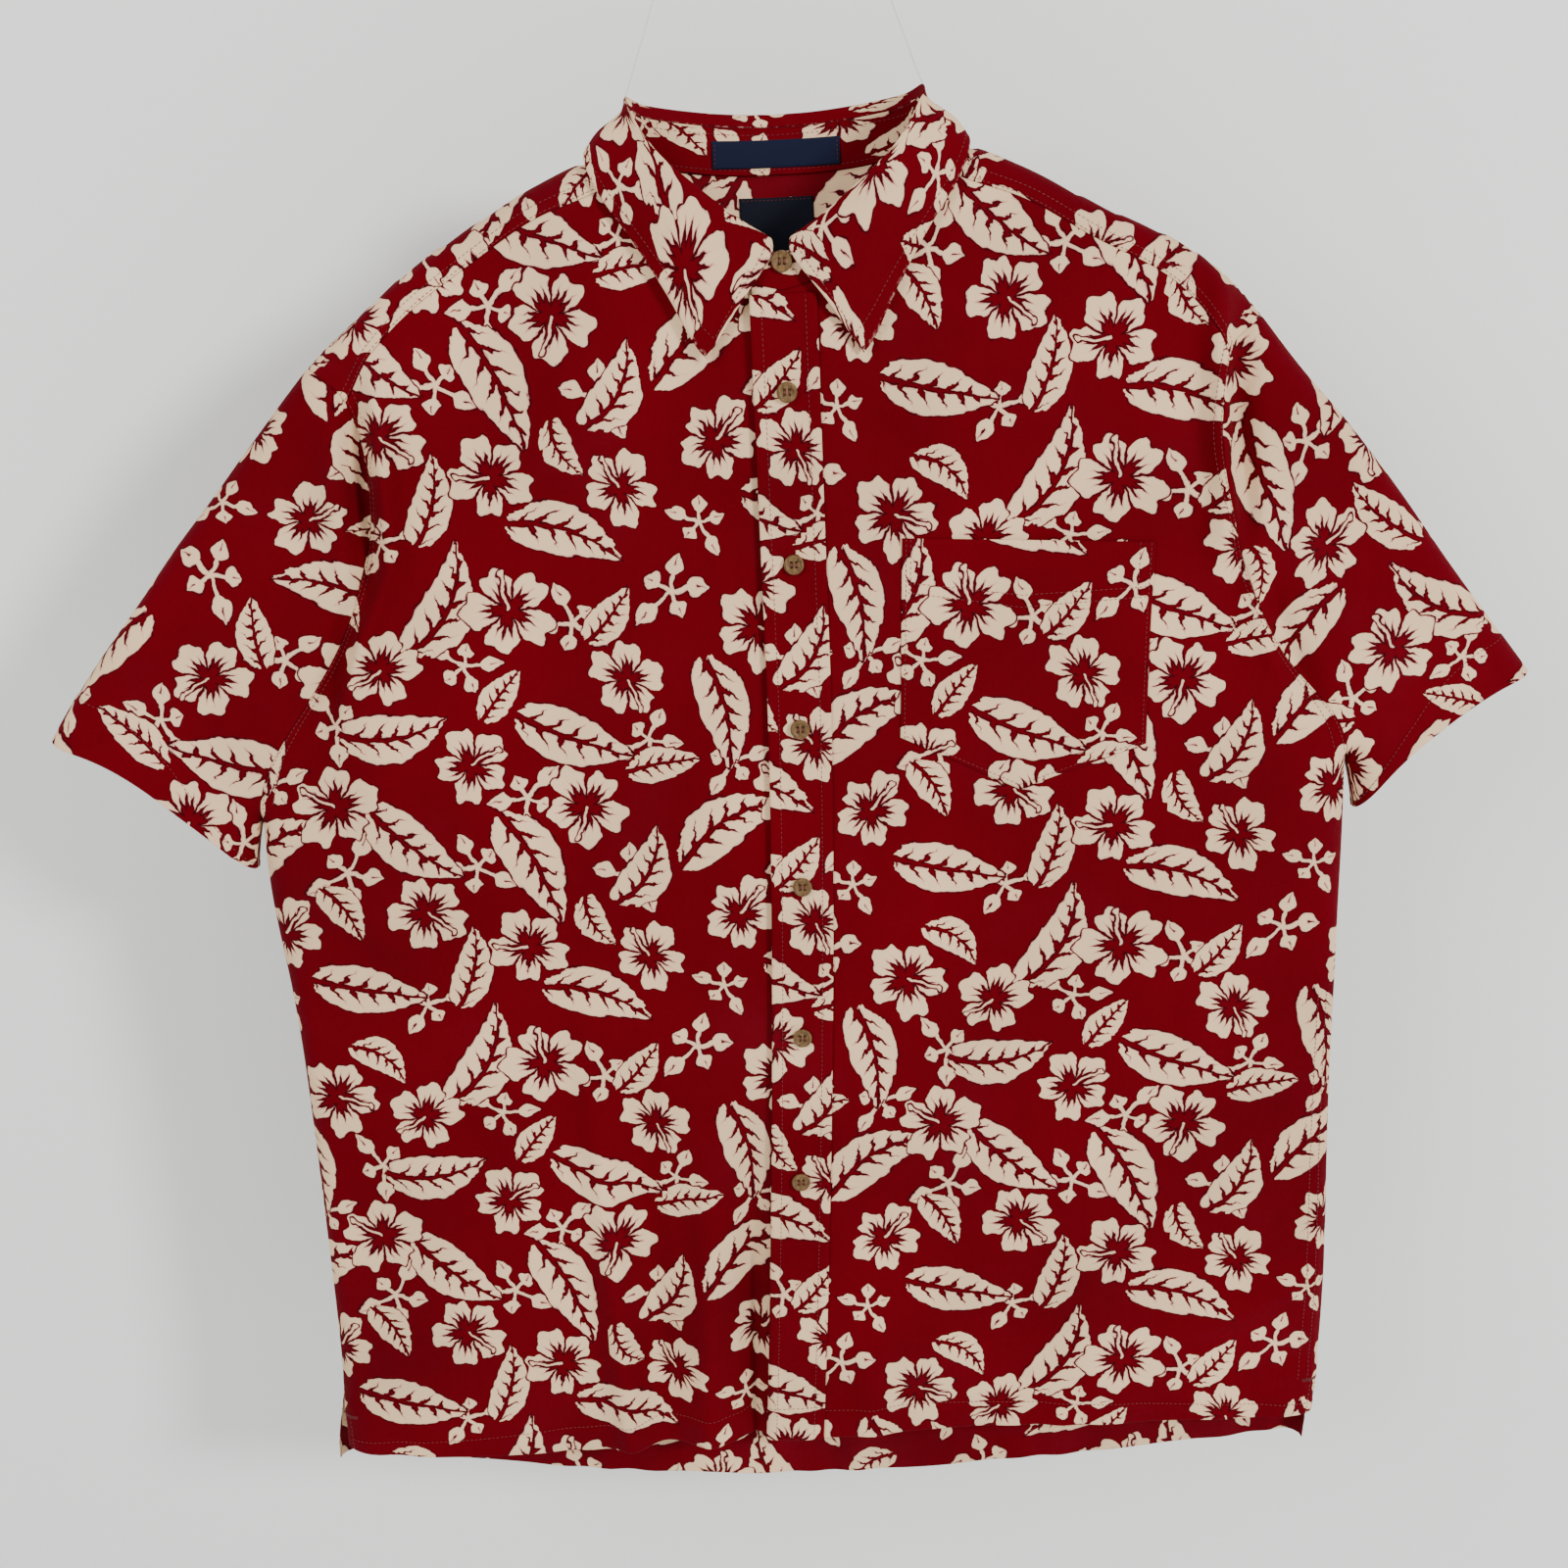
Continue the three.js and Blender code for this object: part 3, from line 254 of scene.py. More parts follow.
def patch(top, bottom, left, right):
    """A patch between four edges: top and bottom are read at u, left and right at v."""
    zero, one = np.zeros(1), np.ones(1)
    c00, c10, c01, c11 = top(zero), top(one), bottom(zero), bottom(one)

    def at(u, v):
        s, t = u[..., None], v[..., None]
        return (
            (1 - t) * top(u) + t * bottom(u) + (1 - s) * left(v) + s * right(v)
            - (1 - s) * (1 - t) * c00 - s * (1 - t) * c10 - (1 - s) * t * c01 - s * t * c11
        )
    return at


def ring_point(rows, station):
    p = points_along(rows, np.abs(station) / (len(rows) - 1))
    p[..., 0] *= np.where(station < 0, -1, 1)
    return p


def threads(length, near, far, step):
    """Places along a panel in mm: close lines at its two edges and where a turned edge ends, even ones between."""
    def edge(turned):
        if turned is None:
            return np.array([0, 0.8, 2.0, 3.6])
        close = np.array([0, 0.4, 0.9, 1.6, 2.6])
        return close if turned == 0 else np.concatenate([close, [turned - 0.6, turned, turned + 0.6]])
    first, last = edge(near), length - edge(far)[::-1]
    count = max(int((last[0] - first[-1]) / step), 1)
    middle = np.linspace(first[-1], last[0], count + 1)[1:-1]
    between = [np.linspace(a, b, max(int(round((b - a) / step)), 1) + 1)[1:-1]
               for row in (first, last) for a, b in zip(row[:-1], row[1:]) if b - a > 1.5 * step]
    return np.sort(np.concatenate([first, middle, last, *between])) / length


# The print: one repeat of a loose field of flowers, leaves and bud sprigs, drawn for this shirt. Each row is x and
# y in the repeat, the turn in degrees, and half the length and width, in millimetres.
REPEAT = np.array([270.0, 277.0])
PRINT = {
    "flower": [
        (36, 41, 10, 25, 25), (88, 56, 140, 23, 21), (164, 25, 250, 26, 26), (229, 68, 60, 24, 20),
        (54, 135, 200, 25, 25), (135, 115, 320, 23, 23), (200, 142, 95, 25, 25), (18, 212, 300, 24, 22),
        (101, 203, 30, 24, 24), (160, 227, 170, 24, 24), (232, 236, 230, 23, 20),
    ],
    "leaf": [
        (126, 20, -62, 36, 15), (196, 101, 22, 36, 15), (13, 90, 80, 34, 14), (92, 94, -6, 32, 14),
        (155, 74, -50, 19, 9), (13, 158, -30, 36, 15), (97, 162, 40, 34, 15), (167, 178, 66, 38, 16),
        (232, 182, -60, 27, 13), (63, 250, 12, 34, 14), (200, 261, 20, 34, 14), (124, 239, -75, 27, 11),
        (247, 119, -8, 22, 10), (65, 18, 40, 20, 10), (221, 31, -50, 20, 10), (54, 200, 60, 20, 10),
        (201, 214, 62, 18, 9),
    ],
    "sprig": [
        (59, 88, 20, 27, 27), (166, 135, 100, 27, 27), (223, 187, 200, 27, 27), (58, 176, 300, 31, 31),
        (133, 176, 30, 27, 27), (257, 18, 140, 29, 29), (5, 257, 60, 23, 23), (200, 34, 250, 27, 27),
        (239, 104, 10, 25, 25), (97, 261, 200, 25, 25), (135, 56, 70, 25, 25), (18, 119, 200, 25, 25),
    ],
}


def stamp(mesh, cut, name):
    """Writes at each corner of the cloth where it lies in the nearest flower, leaf or sprig."""
    faces = cut.reshape(-1, 4, 2)
    middle = faces.mean(axis=1)
    best = np.full(len(middle), np.inf)
    local = np.zeros((len(middle), 4, 3))
    for k, (x, y, turn, long, wide) in enumerate(PRINT[name]):
        away = middle - (x, y)
        shift = REPEAT * np.rint(away / REPEAT)
        c, s = math.cos(math.radians(turn)), math.sin(math.radians(turn))
        axes = np.array([[c / long, -s / wide], [s / long, c / wide]])
        reach = np.linalg.norm((away - shift) @ axes, axis=1)
        near = reach < best
        best[near] = reach[near]
        local[near, :, :2] = (faces[near] - (x, y) - shift[near, None]) @ axes
        local[near, :, 2] = k * 0.382 % 1
    layer = mesh.attributes.new(name, "FLOAT_VECTOR", "CORNER")
    layer.data.foreach_set("vector", local.ravel())


class Dye:
    """A number at each point of the cloth, worked out by the nodes of its material."""

    def __init__(self, tree, socket):
        self.tree, self.socket = tree, socket

    def by(self, operation, *others):
        node = self.tree.nodes.new("ShaderNodeMath")
        node.operation = operation
        for slot, value in zip(node.inputs, (self, *others)):
            if isinstance(value, Dye):
                self.tree.links.new(value.socket, slot)
            else:
                slot.default_value = value
        return Dye(self.tree, node.outputs[0])

    def __add__(self, other):
        return self.by("ADD", other)

    def __sub__(self, other):
        return self.by("SUBTRACT", other)

    def __mul__(self, other):
        return self.by("MULTIPLY", other)

    def __neg__(self):
        return self.by("MULTIPLY", -1)

    def __abs__(self):
        return self.by("ABSOLUTE")

    def scaled(self, times, plus):
        return self.by("MULTIPLY_ADD", times, plus)

    def least(self, *others):
        result = self
        for other in others:
            result = result.by("MINIMUM", other)
        return result

    def most(self, other):
        return self.by("MAXIMUM", other)


def read(tree, name, waver):
    """A motif's own x and y in shares of its reach, made a little uneven, and its own number."""
    stamped = tree.nodes.new("ShaderNodeAttribute")
    stamped.attribute_name = name
    uneven = tree.nodes.new("ShaderNodeTexNoise")
    uneven.inputs["Scale"].default_value = 3.2
    uneven.inputs["Detail"].default_value = 2
    moved = tree.nodes.new("ShaderNodeVectorMath")
    moved.operation = "MULTIPLY_ADD"
    moved.inputs[1].default_value = (waver, waver, 0)
    split = tree.nodes.new("ShaderNodeSeparateXYZ")
    tree.links.new(stamped.outputs["Vector"], uneven.inputs["Vector"])
    tree.links.new(uneven.outputs["Color"], moved.inputs[0])
    tree.links.new(stamped.outputs["Vector"], moved.inputs[2])
    tree.links.new(moved.outputs[0], split.inputs[0])
    x, y, number = (Dye(tree, socket) for socket in split.outputs)
    return x - waver / 2, y - waver / 2, number


def in_sectors(x, y):
    """Distance from the middle, the place in a fifth of a turn (-0.5 to 0.5) and which fifth it is."""
    reach = (x * x + y * y).by("SQRT")
    fifths = y.by("ARCTAN2", x).scaled(5 / math.tau, 0.5)
    return reach, fifths.by("FRACT") - 0.5, fifths.by("FLOOR")


def flower(tree):
    """Five ruffled petals with thin strokes, a star at the middle and a long bent stamen. Each of these drawings
    gives how far inside its cream parts a point lies, in mm, and how far inside its outline."""
    x, y, number = read(tree, "flower", 0.2)
    reach, place, which = in_sectors(x, y)
    off = abs(place)
    ruffle = (place.scaled(15, 0) + which.scaled(5, 0) + number * 9).by("SINE")
    large = (which * 2.1 + number * 30).by("SINE")
    edge = (off * 2).by("POWER", 3.2).scaled(-0.4, 0.96) + ruffle * 0.065 + large * 0.07
    outline = (edge - reach) * 25
    gap = reach * off.scaled(-30, 15) - reach.scaled(0.9, 0.3)
    stroke = off * reach * 30 + reach.scaled(5.2, -3.5)
    side_stroke = abs(off - 0.23) * reach * 30 + reach.scaled(5.0, -3.0)
    star = (reach + off.scaled(0.36, -0.36)) * 25
    bend = y - x * x * 0.25
    rod = (abs(x - 0.4) - 0.36).most(0)
    rod = (rod * rod + bend * bend).by("SQRT")
    knob = x - 0.8
    knob = (knob * knob + bend * bend).by("SQRT")
    stamen = rod.scaled(-28, 1.0).most(knob.scaled(-28, 1.9))
    petals = outline.least(gap, stroke, side_stroke, star, stamen.scaled(-1, -1.0))
    return petals.most(stamen), outline.most(stamen)


def leaf(tree):
    """A pointed leaf with a bent tip, a wavy edge and slanting strokes that taper from its midrib."""
    x, y, number = read(tree, "leaf", 0.26)
    y = y + (number - 0.5) * (x * x).scaled(-1.5, 0.6)
    off = abs(y)
    strokes = x * 3.1 - off * 1.1 + y.by("GREATER_THAN", 0) * 0.45 + number * 5
    half = (x + 1).most(0).by("POWER", 0.55) * x.scaled(-1, 1).most(0).by("POWER", 0.95)
    outline = ((half + (strokes * math.tau).by("COSINE") * 0.02 - off) * 14).least(abs(x).scaled(-38, 38))
    midrib = off * 14 + x.scaled(0.75, -1.25)
    stroke = abs(strokes.by("FRACT") - 0.5) * 9.8 + off.by("DIVIDE", half.most(0.05)).scaled(3.4, -2.3)
    return outline.least(midrib, stroke), outline


def sprig(tree):
    """Five long buds on thin stems of uneven length, each with a short stroke down its middle."""
    x, y, number = read(tree, "sprig", 0.2)
    reach, place, which = in_sectors(x, y)
    angle = place * (math.tau / 5)
    length = (which * 2.4 + number * 50).by("SINE").scaled(0.24, 0.76)
    along = (reach * angle.by("COSINE")).by("DIVIDE", length)
    across = reach * abs(angle.by("SINE"))
    swell = along.scaled(1.6, -0.6)
    bud = (swell * swell.scaled(-4, 4)).most(0).by("POWER", 1.15) * swell.scaled(-0.14, 0.25)
    stem = along.scaled(-1, 0.6).least(0.045)
    outline = ((bud.most(stem) - across) * 28).least(along.scaled(-24, 23.5))
    stroke = (across * 28 + along.scaled(2, -1.75)).most(along.scaled(-28, 18.5))
    return outline.least(stroke), outline


screen = bpy.data.node_groups.new("print screen", "ShaderNodeTree")
screen.interface.new_socket("Inside", in_out="OUTPUT", socket_type="NodeSocketFloat")
flower_in, flower_edge = flower(screen)
leaf_in, leaf_edge = leaf(screen)
sprig_in, _ = sprig(screen)
under_leaf = leaf_edge.scaled(-1, -0.9).least(sprig_in)
inside = flower_in.most(flower_edge.scaled(-1, -0.9).least(leaf_in.most(under_leaf)))
screen.links.new(inside.socket, screen.nodes.new("NodeGroupOutput").inputs[0])

PRINT_COLOURS = [
    (-1.1, (0.109, 0.0, 0.004)), (-0.5, (0.042, 0.0, 0.002)), (-0.1, (0.042, 0.0, 0.002)),
    (0.1, (0.5, 0.2, 0.17)), (0.35, (0.68, 0.4, 0.27)), (0.8, (0.76, 0.525, 0.315)),
]


def printed(name, strength):
    """Plain-woven cotton, printed on one side; strength is how much of the dye shows on this side."""
    material, tree, shader = finish(name)
    new, link = tree.nodes.new, tree.links.new
    dye = new("ShaderNodeGroup")
    dye.node_tree = screen
    cloth = new("ShaderNodeUVMap")
    cloth.uv_map = "cut"
    place = new("ShaderNodeTexCoord")

    def noise(source, scale, detail, stretch=(1, 1, 1)):
        fit = new("ShaderNodeMapping")
        fit.inputs["Scale"].default_value = stretch
        grain = new("ShaderNodeTexNoise")
        grain.inputs["Scale"].default_value = scale
        grain.inputs["Detail"].default_value = detail
        link(source, fit.inputs["Vector"])
        link(fit.outputs[0], grain.inputs["Vector"])
        return Dye(tree, grain.outputs["Fac"])

    slub = noise(cloth.outputs[0], 90, 2, (9, 1, 1)) + noise(cloth.outputs[0], 90, 2, (1, 9, 1))
    colours = new("ShaderNodeValToRGB")
    low, high = PRINT_COLOURS[0][0], PRINT_COLOURS[-1][0]
    ramp = colours.color_ramp.elements
    while len(ramp) < len(PRINT_COLOURS):
        ramp.new(0.5)
    for stop, (level, colour) in zip(ramp, PRINT_COLOURS):
        stop.position = (level - low) / (high - low)
        stop.color = (*colour, 1)
    bleed = (slub - 1) * 0.5
    level = Dye(tree, dye.outputs[0]) + bleed
    link(level.scaled(1 / (high - low), -low / (high - low)).socket, colours.inputs["Fac"])

    washed = new("ShaderNodeMix")
    washed.data_type = "RGBA"
    washed.inputs[7].default_value = (0.6, 0.3, 0.26, 1)
    fade = noise(place.outputs["Object"], 14, 3).scaled(0.02, -0.011) + (slub - 1) * 0.006
    edge = new("ShaderNodeAttribute")
    edge.attribute_name = "worn"
    speck = noise(place.outputs["Object"], 420, 2).scaled(5, -2.6)
    rubbed = (Dye(tree, edge.outputs["Fac"]) * speck).by("MULTIPLY", 1.0)
    amount = (fade + rubbed.most(0)).scaled(1, 1 - strength).most(0).least(0.8)
    link(amount.socket, washed.inputs[0])
    link(colours.outputs["Color"], washed.inputs[6])
    mottled = new("ShaderNodeHueSaturation")
    link(noise(place.outputs["Object"], 9, 4).scaled(0.6, 0.7).socket, mottled.inputs["Value"])
    link(washed.outputs[2], mottled.inputs["Color"])
    link(mottled.outputs[0], shader.inputs["Base Color"])
    rough = slub.scaled(0.12, 0.74)
    link(rough.socket, shader.inputs["Roughness"])
    shader.inputs["Specular IOR Level"].default_value = 0.05
    shader.inputs["Sheen Weight"].default_value = 0.012
    shader.inputs["Sheen Roughness"].default_value = 0.4
    shader.inputs["Sheen Tint"].default_value = (0.9, 0.5, 0.45, 1)

    split = new("ShaderNodeSeparateXYZ")
    link(cloth.outputs[0], split.inputs[0])
    warp, weft = (Dye(tree, split.outputs[k]).by("MULTIPLY", math.tau / 0.0007).by("SINE") for k in (0, 1))
    crumple = (noise(place.outputs["Object"], 11, 3, (1.6, 1, 0.7)) * 0.007
               + noise(place.outputs["Object"], 34, 4) * 0.0022 + noise(place.outputs["Object"], 95, 3) * 0.0004)
    height = warp * weft * 0.00003 + slub * 0.00007 + crumple
    bump = new("ShaderNodeBump")
    bump.inputs["Distance"].default_value = 1.0
    bump.inputs["Strength"].default_value = 0.7
    link(height.socket, bump.inputs["Height"])
    link(bump.outputs[0], shader.inputs["Normal"])
    return material


cotton = printed("printed cotton", 1.0)
wrong_side = printed("printed cotton, wrong side", 0.996)


def rise(distance, turned):
    """How far the cloth rises over a turned edge, and how it rolls in at the edge itself."""
    if turned is None:
        return 0 * distance
    return (0.3 * smooth(turned + 0.5 - distance) if turned else 0 * distance) - 0.55 * np.clip(1 - distance / 1.6, 0, 1) ** 2


def right_side(size, turned, place, seen):
    """The right side of a panel, by the shares across and down it."""
    def square_to(u, v):
        e = 0.002
        across = place(np.clip(u + e, 0, 1), v)[0] - place(np.clip(u - e, 0, 1), v)[0]
        down = place(u, np.clip(v + e, 0, 1))[0] - place(u, np.clip(v - e, 0, 1))[0]
        way = np.cross(across, down)
        return way / np.maximum(np.linalg.norm(way, axis=-1, keepdims=True), 1e-9)

    turn = np.sign(square_to(np.array([seen[0]]), np.array([seen[1]]))[0] @ np.array(seen[2]))

    def at(u, v, lift=0.0):
        points, cut = place(u, v)
        heights = [rise(d, t) for d, t in zip((u * size[0], (1 - u) * size[0], v * size[1], (1 - v) * size[1]), turned)]
        height = np.clip(sum(heights), min(-0.5, 0), 0.35) + lift
        return points + turn * square_to(u, v) * height[..., None], cut
    return at, turn


def panel(name, size, turned, place, seen, step=4.0, thickness=0.45, right=cotton, wrong=wrong_side, worn=0.0):
    """A panel of cloth: a flat grid of threads, moved to its place. size is its width and height, turned the width
    of the turned edges (left, right, top, bottom; None on a fold), seen a place on it and the side it faces."""
    at, turn = right_side(size, turned, place, seen)
    across = threads(size[0], turned[0], turned[1], step)
    down = threads(size[1], turned[2], turned[3], step)
    grid = bmesh.new()
    grid.loops.layers.uv.new("cut")
    bmesh.ops.create_grid(grid, x_segments=len(across) - 1, y_segments=len(down) - 1, size=1)
    mesh = bpy.data.meshes.new(name)
    grid.to_mesh(mesh)
    grid.free()
    flat = np.empty(3 * len(mesh.vertices))
    mesh.vertices.foreach_get("co", flat)
    flat = flat.reshape(-1, 3)
    i = np.rint((flat[:, 0] + 1) / 2 * (len(across) - 1)).astype(int)
    j = np.rint((1 - flat[:, 1]) / 2 * (len(down) - 1)).astype(int)
    points, cut = at(across[i], down[j])
    mesh.vertices.foreach_set("co", (points * MM).ravel())
    mesh.update()
    corner = np.empty(len(mesh.loops), int)
    mesh.loops.foreach_get("vertex_index", corner)
    mesh.uv_layers["cut"].data.foreach_set("uv", (cut[corner] * MM).ravel())
    for motif in PRINT:
        stamp(mesh, cut[corner], motif)
    edge = np.minimum(np.minimum(across, 1 - across)[i] * size[0], np.minimum(down, 1 - down)[j] * size[1])
    layer = mesh.attributes.new("worn", "FLOAT", "POINT")
    layer.data.foreach_set("value", worn * np.clip(1.3 - edge, 0, 1))
    if turn > 0:
        mesh.flip_normals()
    mesh.shade_smooth()
    mesh.materials.append(right)
    mesh.materials.append(wrong)
    piece = bpy.data.objects.new(name, mesh)
    bpy.context.scene.collection.objects.link(piece)
    wall = piece.modifiers.new("cloth", "SOLIDIFY")
    wall.thickness = thickness * MM
    wall.offset = -1
    wall.use_even_offset = False
    wall.material_offset = 1
    wall.material_offset_rim = 0
    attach(piece, "root")
    return piece, at


thread, thread_tree, thread_shader = finish("sewing thread")
thread_shader.inputs["Base Color"].default_value = (0.13, 0.01, 0.012, 1)
thread_shader.inputs["Roughness"].default_value = 0.55
twist = thread_tree.nodes.new("ShaderNodeTexNoise")
twist.inputs["Scale"].default_value = 2600
thread_bump = thread_tree.nodes.new("ShaderNodeBump")
thread_bump.inputs["Distance"].default_value = 0.0001
thread_tree.links.new(twist.outputs["Fac"], thread_bump.inputs["Height"])
thread_tree.links.new(thread_bump.outputs[0], thread_shader.inputs["Normal"])


def sew(name, at, rows, pitch=2.8, thick=0.23):
    """Rows of stitches on the right side of a panel; each row is its shares across and down."""
    seam = bmesh.new()
    for u, v in rows:
        u, v = np.broadcast_arrays(u, v)
        line = at(u, v, 0.05)[0]
        above = at(u, v, 1.05)[0] - line
        run = np.concatenate([[0], np.cumsum(np.linalg.norm(np.diff(line, axis=0), axis=1))])
        count = max(int(run[-1] / pitch), 1)
        marks = (np.arange(count) + 0.5) * run[-1] / count
        here, ahead, up = (np.stack([np.interp(m, run, values[:, k]) for k in range(3)], axis=1)
                           for m, values in ((marks, line), (marks + 0.3, line), (marks, above)))
        for p, q, n in zip(here, ahead, up):
            way = Vector(q - p).normalized()
            n = Vector(n).normalized()
            side = n.cross(way)
            lay = Matrix((way * 0.38 * pitch, side * thick, n * thick)).transposed().to_4x4() * MM
            lay[3][3] = 1
            lay.translation = Vector(p) * MM
            bmesh.ops.create_icosphere(seam, subdivisions=1, radius=1, matrix=lay)
    mesh = bpy.data.meshes.new(name)
    seam.to_mesh(mesh)
    seam.free()
    mesh.shade_smooth()
    mesh.materials.append(thread)
    piece = bpy.data.objects.new(name, mesh)
    bpy.context.scene.collection.objects.link(piece)
    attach(piece, "root")
    return piece


# How much longer the cloth is than its outline, where it rounds in at a fold.
FROM_EDGE = np.linspace(0, FOLD_RADIUS, 80)
ROUND = HALF_DEPTH * np.sqrt(1 - (1 - FROM_EDGE / FOLD_RADIUS) ** 2)
ARC = np.concatenate([[0], np.cumsum(np.hypot(np.diff(FROM_EDGE), np.diff(ROUND)))])
SPARE = (ARC[-1] - ARC) - (FOLD_RADIUS - FROM_EDGE)


def spare(line, x, drop):
    return np.interp(nearest(line, x, drop)[0], FROM_EDGE, SPARE)


ROW = np.linspace(0, 1, 260)
NECK_SHARE = 0.3
ARMHOLE_SHARE = 0.36
for side, hand, reach in (("left", -1, 0.62), ("right", 1, 0.74)):
    neck_start = ring_point(NECK, np.array([-reach]))[0]

    def centre_x(drop):
        return hand * lean(drop) + neck_start[0]

    def top(u):
        on_neck = ring_point(NECK, (4 + reach) * np.minimum(u, NECK_SHARE) / NECK_SHARE - reach)
        on_yoke = points_along(YOKE_SEAM_FRONT, (u - NECK_SHARE) / (1 - NECK_SHARE))
        return np.where((u <= NECK_SHARE)[..., None], on_neck, on_yoke)

    def outer(v):
        armhole = points_along(ARMHOLE_FRONT, YOKE_FRONT + (1 - YOKE_FRONT) * v / ARMHOLE_SHARE)
        fold = points_along(FRONT_SIDE, (v - ARMHOLE_SHARE) / (1 - ARMHOLE_SHARE))
        return np.where((v <= ARMHOLE_SHARE)[..., None], armhole, fold)

    def centre(v):
        upper = neck_start[1] + (445 - neck_start[1]) * v / ARMHOLE_SHARE
        lower = 445 + (HEM - 445) * (v - ARMHOLE_SHARE) / (1 - ARMHOLE_SHARE)
        drop = np.where(v <= ARMHOLE_SHARE, upper, lower)
        return np.stack([centre_x(drop), drop], axis=-1)

    def hem(u):
        x = centre_x(HEM) + (309 - centre_x(HEM)) * u
        return np.stack([x, HEM - 3 * smooth((x - 230) / 80)], axis=-1)

    front_patch = patch(top, hem, centre, outer)

    def place(u, v):
        p = front_patch(u, v)
        x, drop = p[..., 0], p[..., 1]
        points = on_right_front(x, drop) if hand > 0 else on_layer(-x, drop, -1)
        long = x + spare(FRONT_EDGES[1], x, drop)
        return points, np.stack([hand * long + 18 - 40 * hand, drop + 30 * hand], axis=-1)

    front, on_front = panel(
        f"front_{side}_cloth", (325, 730), (0, 0, 0, 23), place, (0.5, 0.5, (0, -1, 0)))
    armhole_row = ARMHOLE_SHARE * 0.97 * ROW
    stitching = sew(f"front_{side}_stitching", on_front, [
        (0.06 + 0.92 * ROW, 1 - 23 / 730), (1 - 2.2 / 230, armhole_row), (1 - 8.5 / 230, armhole_row),
        (1 - 6 / 325, 0.925 + 0.073 * ROW), (1 - 1.8 / 325, 0.925 + 0.073 * ROW),
        *((1 - inset / 325, 0.62 + 0.305 * ROW) for inset in ((9, 15) if hand > 0 else ()))])
    tack = sew(f"front_{side}_tack", on_front, [
        (1 - (1 + 11 * ROW) / 325, 0.925 + k * 0.7 / 730) for k in range(-2, 3)], 0.8)
    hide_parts(f"front_{side}")


# ---------------------------------------------------------------- Back
# One piece from the back yoke seam to a hem that hangs lower than the fronts.
def back_top(t):
    return points_along(YOKE_SEAM_BACK, 1 - t)


def back_hem(t):
    return points_along(HEM_BACK, 1 - t)


def back_outer(v):
    armhole = points_along(ARMHOLE_BACK, YOKE_BACK + (1 - YOKE_BACK) * v / ARMHOLE_SHARE)
    fold = points_along(BACK_SIDE, (v - ARMHOLE_SHARE) / (1 - ARMHOLE_SHARE))
    return np.where((v <= ARMHOLE_SHARE)[..., None], armhole, fold)


def back_middle(v):
    upper = 196 + (445 - 196) * v / ARMHOLE_SHARE
    lower = 445 + (916 - 445) * (v - ARMHOLE_SHARE) / (1 - ARMHOLE_SHARE)
    drop = np.where(v <= ARMHOLE_SHARE, upper, lower)
    return np.stack([np.zeros_like(drop), drop], axis=-1)


back_patch = patch(back_top, back_hem, back_middle, back_outer)


def place_back(u, v):
    t = 2 * u - 1
    p = back_patch(np.abs(t), v)
    x, drop = np.sign(t) * p[..., 0], p[..., 1]
    long = np.sign(x) * (np.abs(x) + spare(BACK_EDGES[1], np.abs(x), drop))
    return on_layer(x, drop, 1), np.stack([90 - long, drop - 66], axis=-1)


back, on_back = panel("back_cloth", (640, 735), (0, 0, 0, 23), place_back, (0.5, 0.5, (0, 1, 0)))
back_stitching = sew("back_stitching", on_back, [
    (0.01 + 0.98 * ROW, 1 - 23 / 735), *((edge, ARMHOLE_SHARE * 0.97 * ROW) for edge in (0.004, 0.015, 0.985, 0.996)),
    *((edge, 0.93 + 0.068 * ROW) for edge in (0.003, 0.01, 0.99, 0.997))])
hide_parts("back")

# ---------------------------------------------------------------- Yoke
# One piece over both shoulders, from the seam on the fronts to the seam across the back.
SHOULDER = FRONT_EDGES[0]
NECK_BACK = NECK[4:]
NECK_END, SHOULDER_END, STRIP_SHARE = 0.62, 0.7, 0.4


def shoulder_drop(x):
    slope = (SHOULDER[1, 1] - SHOULDER[0, 1]) / (SHOULDER[1, 0] - SHOULDER[0, 0])
    return np.interp(x, SHOULDER[:, 0], SHOULDER[:, 1]) + slope * np.minimum(x - SHOULDER[0, 0], 0)


def mirrored(p):
    return 2 * nearest(SHOULDER, p[..., 0], p[..., 1])[1] - p


def yoke_top(u):
    front_seam = mirrored(points_along(YOKE_SEAM_FRONT, 1 - u / NECK_END))
    end = points_along(NECK_BACK, (u - NECK_END) / (SHOULDER_END - NECK_END) / 5)
    ahead = end[..., 1] > shoulder_drop(end[..., 0]) + 0.01
    end = np.where(ahead[..., None], mirrored(end), end)
    behind = points_along(NECK_BACK, 0.2 + 0.8 * (u - SHOULDER_END) / (1 - SHOULDER_END))
    return np.where((u <= NECK_END)[..., None], front_seam, np.where((u <= SHOULDER_END)[..., None], end, behind))


BACK_SEAM = points_along(YOKE_SEAM_BACK, SHARES)[::-1]


def yoke_bottom(u):
    x = np.interp(u, [0, NECK_END, SHOULDER_END, 1], [252, 92, 78, 0])
    return np.stack([x, np.interp(x, BACK_SEAM[:, 0], BACK_SEAM[:, 1])], axis=-1)


def yoke_arm_end(v):
    ahead = mirrored(points_along(ARMHOLE_FRONT, YOKE_FRONT * (1 - v / STRIP_SHARE)))
    behind = points_along(ARMHOLE_BACK, YOKE_BACK * (v - STRIP_SHARE) / (1 - STRIP_SHARE))
    return np.where((v < STRIP_SHARE)[..., None], ahead, behind)


def yoke_middle(v):
    return np.stack([np.zeros_like(v), 97 + (196 - 97) * v], axis=-1)


yoke_patch = patch(yoke_top, yoke_bottom, yoke_arm_end, yoke_middle)


